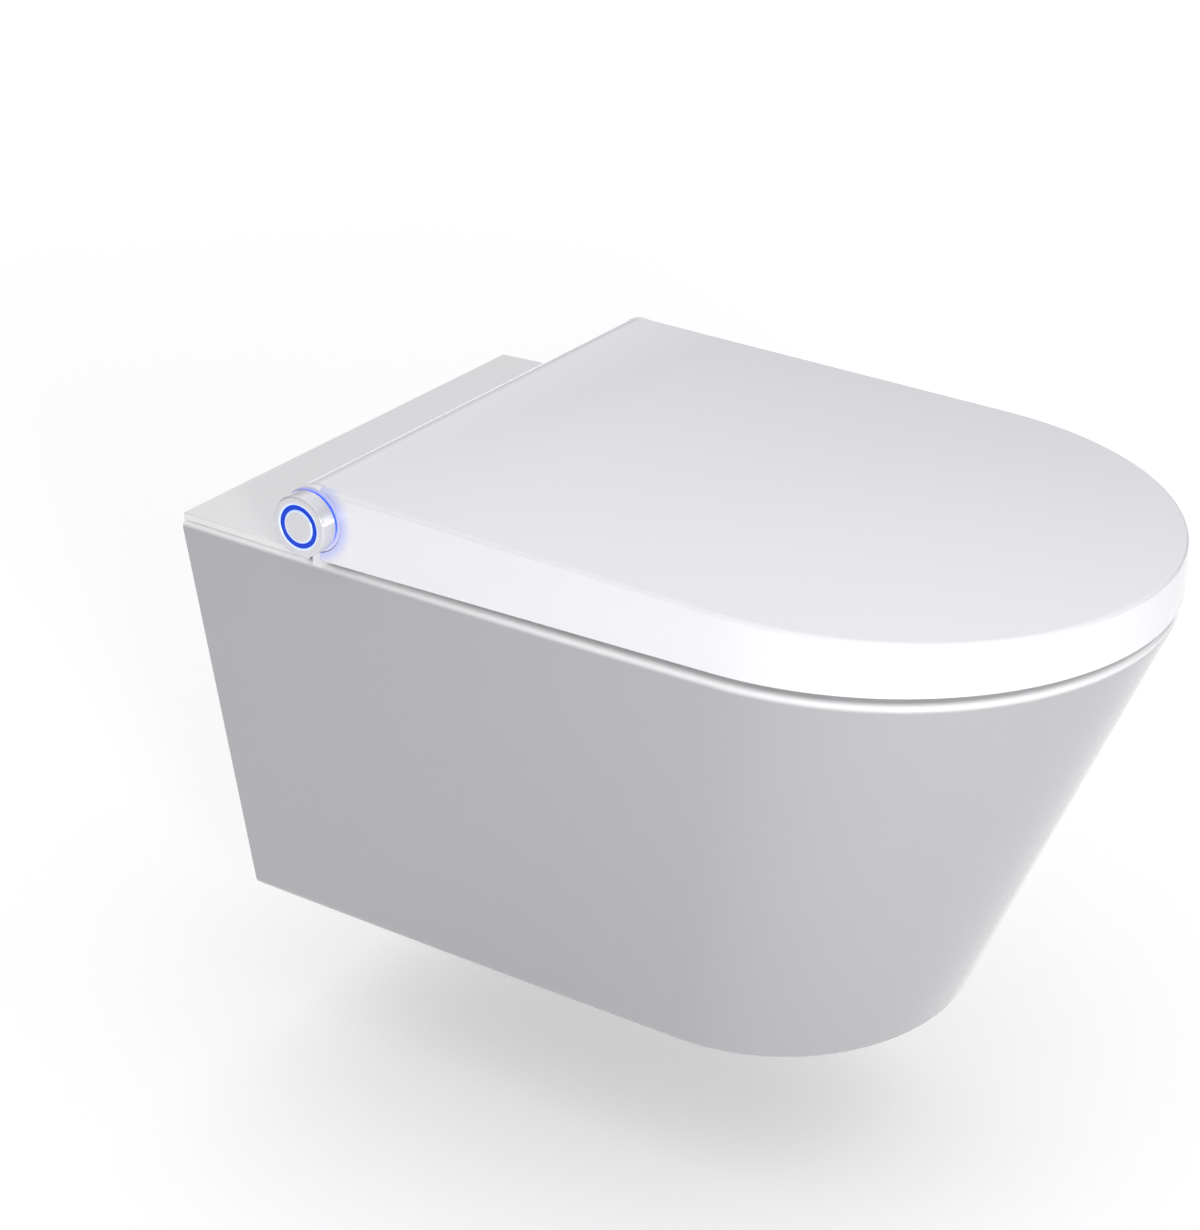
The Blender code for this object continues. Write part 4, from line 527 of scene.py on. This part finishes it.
pan_cuts = [
    bridged(bowl_rings),
    bar((0, CLEAR, WASTE_Z), (0, WASTE_SOCKET_Y, WASTE_Z), WASTE_SOCKET_R),
    bar((0, 0, WASTE_Z), (0, WASTE_END_Y, WASTE_Z + WASTE_RISE), WASTE_R),
    bar((0, CLEAR, FLUSH_Z), (0, FLUSH_Y, FLUSH_Z), FLUSH_R),
    block((-BAY_X, BAY_Y[1], BAY_FLOOR_Z), (BAY_X, BAY_Y[0], ABOVE)),
    block((-SHELF_X, SHELF_Y[1], RIM_Z - SHELF_DEPTH), (SHELF_X, SHELF_Y[0], ABOVE)),
    block((-NOSE_X, NOSE_Y, BAY_FLOOR_Z), (NOSE_X, BAY_Y[1] + NOSE_OVERLAP, ABOVE)),
]
for side in (-1, 1):
    well = sorted((side * WELL_X, side * BAY_X))
    pocket = sorted(side * x for x in POCKET_X)
    stud_x, fitting_x, plug_x = side * STUD_X, side * FITTING_X, side * PLUG_X
    pan_cuts += [
        block((well[0], WELL_Y, WELL_Z), (well[1], BAY_Y[0], ABOVE)),
        bar((stud_x, CLEAR, 0), (stud_x, STUD_Y, 0), STUD_R, BORE_SIDES),
        bar((stud_x, CLEAR, 0), (stud_x, FLANGE_Y, 0), FLANGE_R, BORE_SIDES),
        block((pocket[0], POCKET_Y, POCKET_Z[0]), (pocket[1], CLEAR, POCKET_Z[1])),
        bar((fitting_x, CLEAR, FITTING_Z), (fitting_x, FITTING_Y, FITTING_Z), FITTING_R, BORE_SIDES),
        bar((plug_x, PLUG_Y, ABOVE), (plug_x, PLUG_Y, PLUG_Z), PLUG_R, PLUG_SIDES),
    ]
pan_mesh = worked(pan_mesh, [("DIFFERENCE", cut) for cut in pan_cuts])
pan = finish_piece("pan", pan_mesh, GLAZE, "ceramic_pan", PAN_SMOOTH)
print("pan", len(pan.data.polygons), "faces")

# %% [markdown]
# The lid is one thin moulding: a flat top that falls a little to the front, upright sides, and a
# round barrel at the rear that turns about the hinge. The barrel stops just short of the bosses.
# %% Lid
BARREL = 0.0214
BARREL_END = 0.1825
BARREL_END_WALL = 0.0055
BARREL_LOW_Z = HINGE_Z - BARREL * math.sin(math.radians(42))
LID_EDGE_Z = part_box("lid_shell")[0][2]
LID_FRONT_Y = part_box("lid_shell")[0][1]
LID_TOP_FRONT_Z = RIM_Z + 0.0368
LID_HALF = 0.1895
LID_WALL = 0.003
LID_EDGE_ROUND, LID_TOP_ROUND = 0.0008, 0.0026
LID_SMOOTH = 25.0                        # degrees
DAMPER_BORE = 0.0085
BOSS_GAP = 0.0005
BOSS_FOOT_FRONT = 0.0045                 # room ahead of the axis for each hinge boss's foot
CUT_X, BOSS_CUT_X, CUT_REACH = 0.3, 0.25, 0.05     # how far the cuts reach past the lid


def lid_top(y):
    share = (HINGE_Y - y) / (HINGE_Y - LID_FRONT_Y)
    return HINGE_Z + BARREL + (LID_TOP_FRONT_Z - HINGE_Z - BARREL) * share


def lid_outline(z, inset=0.0):
    return outline(LID_HALF, LID_HALF + HAIR, HINGE_Y, RIM["wide_y"], LID_FRONT_Y, z, inset)


def axle(x_from, x_to, radius, sides=144):
    return bar((x_from, HINGE_Y, HINGE_Z), (x_to, HINGE_Y, HINGE_Z), radius, sides)


rings = [
    lid_outline(LID_EDGE_Z + drop, inset) for inset, drop in reversed(quarter(LID_EDGE_ROUND, 3))
]
rings += [
    lid_outline(lambda y, drop=drop: lid_top(y) - drop, inset) for inset, drop in quarter(LID_TOP_ROUND)
]
low, rear = HINGE_Z - CUT_REACH, HINGE_Y + CUT_REACH
lid_steps = [
    ("UNION", axle(-BARREL_END - SEAM, BARREL_END + SEAM, BARREL)),
    ("DIFFERENCE", block((-CUT_X, HINGE_Y - HAIR, low), (CUT_X, rear, BARREL_LOW_Z))),
    ("DIFFERENCE", bridged([
        lid_outline(LID_EDGE_Z - CLEAR, LID_WALL), lid_outline(lambda y: lid_top(y) - LID_WALL, LID_WALL)
    ])),
    ("DIFFERENCE", axle(-BARREL_END + BARREL_END_WALL, BARREL_END - BARREL_END_WALL, BARREL - LID_WALL)),
]
for side in (-1, 1):
    foot_x = sorted((side * BARREL_END, side * BOSS_CUT_X))
    wall_x = BARREL_END - BARREL_END_WALL
    lid_steps += [
        ("UNION", axle(side * wall_x, side * (BARREL_END + SEAM), BARREL - SEAM)),
        ("DIFFERENCE", axle(side * BARREL_END, side * BOSS_CUT_X, BARREL + BOSS_GAP)),
        ("DIFFERENCE", block((foot_x[0], HINGE_Y - BOSS_FOOT_FRONT, low), (foot_x[1], rear, HINGE_Z + SEAM))),
        ("DIFFERENCE", axle(side * (wall_x - CLEAR), side * (BARREL_END + CLEAR), DAMPER_BORE)),
    ]
lid = finish_piece("lid", worked(bridged(rings), lid_steps), LID_GLOSS, "lid_shell", LID_SMOOTH)
print("lid", len(lid.data.polygons), "faces")

# %% [markdown]
# The seat ring is a hollow moulding with a soft upper edge. It is hidden while the lid is down, and
# is the first thing seen once the lid is up.
# %% Seat
SEAT_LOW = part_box("seat_top_shell")[0][2]
SEAT_TOP = RIM_Z + 0.026
SEAT_HALF, SEAT_REAR_Y, SEAT_FRONT_Y = 0.182, -0.141, -0.594
SEAT_WALL, SEAT_WALL_UP = 0.003, 0.005   # the side wall at its foot, and where it meets the top
SEAT_ROUND, HOLE_ROUND = 0.007, 0.0055
HOLE = dict(half_width=0.105, rear_y=-0.245, front_y=-0.525)
EAR_X = (0.095, 0.107)                   # of the two ears that hang the seat on its dampers
EAR_R, EAR_SIDES = 0.013, 64
EAR_LENGTH, EAR_SINK, EAR_RISE = 0.045, 0.0025, 0.005


def seat_outline(z, inset=0.0):
    rear_y = SEAT_REAR_Y - inset
    return outline(SEAT_HALF, SEAT_HALF + HAIR, rear_y, RIM["wide_y"], SEAT_FRONT_Y, z, inset)


rings = [seat_outline(SEAT_LOW)]
rings += [seat_outline(SEAT_TOP - drop, inset) for inset, drop in quarter(SEAT_ROUND)]
hole_edge = [(SEAT_LOW - CLEAR, 0.0)]
hole_edge += [(SEAT_TOP - drop, inset) for inset, drop in quarter(HOLE_ROUND)]
hole_edge.append((SEAT_TOP + CLEAR, HOLE_ROUND + HAIR))
hole_wall = [oval(z=z, grow=SEAT_WALL, **HOLE) for z in (SEAT_LOW, SEAT_TOP - SEAT_WALL + SEAM)]
seat_steps = [
    ("DIFFERENCE", bridged([
        seat_outline(SEAT_LOW - CLEAR, SEAT_WALL), seat_outline(SEAT_TOP - SEAT_WALL, SEAT_WALL_UP)
    ])),
    ("UNION", bridged(hole_wall)),
    ("DIFFERENCE", bridged([oval(z=z, grow=grow, **HOLE) for z, grow in hole_edge])),
]
for side in (-1, 1):
    x_low, x_high = sorted(side * x for x in EAR_X)
    bore_x = (side * (EAR_X[0] - CLEAR), side * (EAR_X[1] + CLEAR))
    seat_steps += [
        ("UNION", block(
            (x_low, HINGE_Y - EAR_LENGTH, SEAT_TOP - EAR_SINK), (x_high, HINGE_Y, HINGE_Z + EAR_RISE)
        )),
        ("UNION", axle(side * EAR_X[0], side * EAR_X[1], EAR_R, EAR_SIDES)),
        ("DIFFERENCE", axle(*bore_x, DAMPER_BORE, EAR_SIDES)),
    ]
seat = finish_piece("seat", worked(bridged(rings), seat_steps), SEAT_GLOSS, "seat_top_shell")
print("seat", len(seat.data.polygons), "faces")

# %% [markdown]
# The knob is a turned cup: a profile spun about the hinge axis, with small rounds on every edge
# that a finger meets. The lit ring and the centre cap are spun from profiles of their own.
# %% Knob
KNOB_FACE_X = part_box("control_knob")[0][0]
KNOB_OPEN_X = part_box("control_knob")[1][0]
KNOB_R = 0.020
KNOB_WALL, KNOB_ROUND = 0.0024, 0.0014
FINE_ROUND = 0.0003
RECESS_R, RECESS_DEPTH = 0.0143, 0.0038  # in the knob's face, for the ring and cap
SPIN_WELD = 0.000002
SLOT_ANGLE = math.pi - math.radians(15)  # of the pointer line's slot, from straight up
SLOT_FRONT, SLOT_REAR = 0.0009, 0.0007   # from the knob's two ends to the slot's
SLOT_DEPTH, SLOT_HALF = 0.0015, 0.00095
RING_DEPTH, RING_PROUD = 0.0028, 0.0001
CAP_DEPTH, CAP_GAP, CAP_ROUND = 0.0032, 0.0003, 0.0007
CAP_DISH = ((0.0002, 0.5), (0.0003, 0.0))    # (depth, share of the cap's radius) of its dished face
LIGHT_SMOOTH = 40.0                      # degrees


def spun(profile, steps=160):
    """A closed (x, radius) profile spun about the hinge axis."""
    bm = bmesh.new()
    verts = [bm.verts.new((x, HINGE_Y, HINGE_Z + r)) for x, r in profile]
    edges = [bm.edges.new((verts[i - 1], verts[i])) for i in range(len(verts))]
    bmesh.ops.spin(
        bm, geom=verts + edges, cent=(0, HINGE_Y, HINGE_Z), axis=(1, 0, 0), angle=2 * math.pi, steps=steps,
        use_merge=True,
    )
    bmesh.ops.remove_doubles(bm, verts=bm.verts, dist=SPIN_WELD)
    bmesh.ops.recalc_face_normals(bm, faces=bm.faces)
    return mesh_from(bm)


def corner(x, radius, size, steps=5):
    """Points round an outer corner of a profile, from its side to its face at x."""
    return [(x + drop, radius - inset) for inset, drop in quarter(size, steps)]


knob_profile = [
    (KNOB_OPEN_X, KNOB_R - KNOB_WALL), (KNOB_OPEN_X, KNOB_R - FINE_ROUND), (KNOB_OPEN_X - FINE_ROUND, KNOB_R),
]
knob_profile += corner(KNOB_FACE_X, KNOB_R, KNOB_ROUND)
knob_profile += [
    (KNOB_FACE_X, RECESS_R + FINE_ROUND), (KNOB_FACE_X + FINE_ROUND, RECESS_R),
    (KNOB_FACE_X + RECESS_DEPTH, RECESS_R), (KNOB_FACE_X + RECESS_DEPTH, KNOB_R - KNOB_WALL),
]
slot_mesh = block(
    (KNOB_FACE_X + SLOT_FRONT, KNOB_R - SLOT_DEPTH, -SLOT_HALF),
    (KNOB_OPEN_X - SLOT_REAR, KNOB_R + CLEAR, SLOT_HALF),
)
slot_mesh.transform(Matrix.Translation((0, HINGE_Y, HINGE_Z)) @ Matrix.Rotation(SLOT_ANGLE, 4, "X"))
knob_mesh = worked(spun(knob_profile), [("DIFFERENCE", slot_mesh)])
finish_piece("knob", knob_mesh, KNOB_PEARL, "control_knob")

ring_x = KNOB_FACE_X - RING_PROUD
ring_profile = [(KNOB_FACE_X + RING_DEPTH, RING_IN), (KNOB_FACE_X + RING_DEPTH, RING_OUT)]
ring_profile += corner(ring_x, RING_OUT, FINE_ROUND, 3)
ring_profile += [(ring_x, RING_IN + FINE_ROUND), (ring_x + FINE_ROUND, RING_IN)]
finish_piece("light_ring", spun(ring_profile), BLUE_LIGHT, "knob_light_ring", LIGHT_SMOOTH)

cap_r = RING_IN - CAP_GAP
cap_profile = [(KNOB_FACE_X + CAP_DEPTH, 0.0), (KNOB_FACE_X + CAP_DEPTH, cap_r)]
cap_profile += corner(KNOB_FACE_X, cap_r, CAP_ROUND)
cap_profile += [(KNOB_FACE_X + depth, cap_r * share) for depth, share in CAP_DISH]
finish_piece("centre_cap", spun(cap_profile), CAP_PEARL, "knob_button", LIGHT_SMOOTH)
print(f"knob from x {KNOB_FACE_X:.4f} to {KNOB_OPEN_X:.4f} m")

# %% [markdown]
# The remaining parts already have their true shape. Each gets a copy of its mesh with the triangles
# merged and smooth shading on round stretches, and the ones in plain sight get a hair-fine bevel so
# that their edges catch light. The knob's collar glows, because the knob's light shines on it.
# %% Every other part
FINISH_OF_SLOT = {
    "seat_white": SEAT_GLOSS, "unit_white": UNIT_SATIN, "blue_light": BLUE_LIGHT, "white_light": WHITE_LIGHT,
    "steel": STEEL, "rubber_grey": RUBBER, "black_plastic": BLACK_PLASTIC, "grey_plastic": GREY_PLASTIC,
    "board_green": BOARD, "brass": BRASS, "heater_foil": FOIL, "hose_clear": HOSE,
}
FINE = {"ceramic_pan", "lid_shell", "seat_top_shell", "control_knob", "knob_light_ring", "knob_button"}
BEVELLED = {
    "rear_cover": 0.0006, "housing_cover": 0.0004, "hinge_boss_left": 0.0005, "hinge_boss_right": 0.0005,
    "seat_bottom_shell": 0.0005, "knob_collar": 0.0003, "seat_base": 0.0004,
}
WELD = 0.00001
FLAT_ANGLE = math.radians(1)
BEVEL_ANGLE = math.radians(50)
ROUND_SMOOTH = 32.0                      # degrees

for node, obj in frame["nodes"].items():
    if node in FINE:
        continue
    bm = bmesh.new()
    bm.from_mesh(obj.data)
    bmesh.ops.remove_doubles(bm, verts=bm.verts, dist=WELD)
    bmesh.ops.dissolve_limit(bm, angle_limit=FLAT_ANGLE, verts=bm.verts, edges=bm.edges)
    finish = GLOW if node == "knob_collar" else FINISH_OF_SLOT[SLOT_OF[node]]
    piece = finish_piece(f"{node}_fine", mesh_from(bm), finish, node, ROUND_SMOOTH)
    if node in BEVELLED:
        bevel = piece.modifiers.new("edge", "BEVEL")
        bevel.width = BEVELLED[node]
        bevel.segments = 3
        bevel.limit_method = "ANGLE"
        bevel.angle_limit = BEVEL_ANGLE
print(len(frame["nodes"]) - len(FINE), "parts kept their shape")
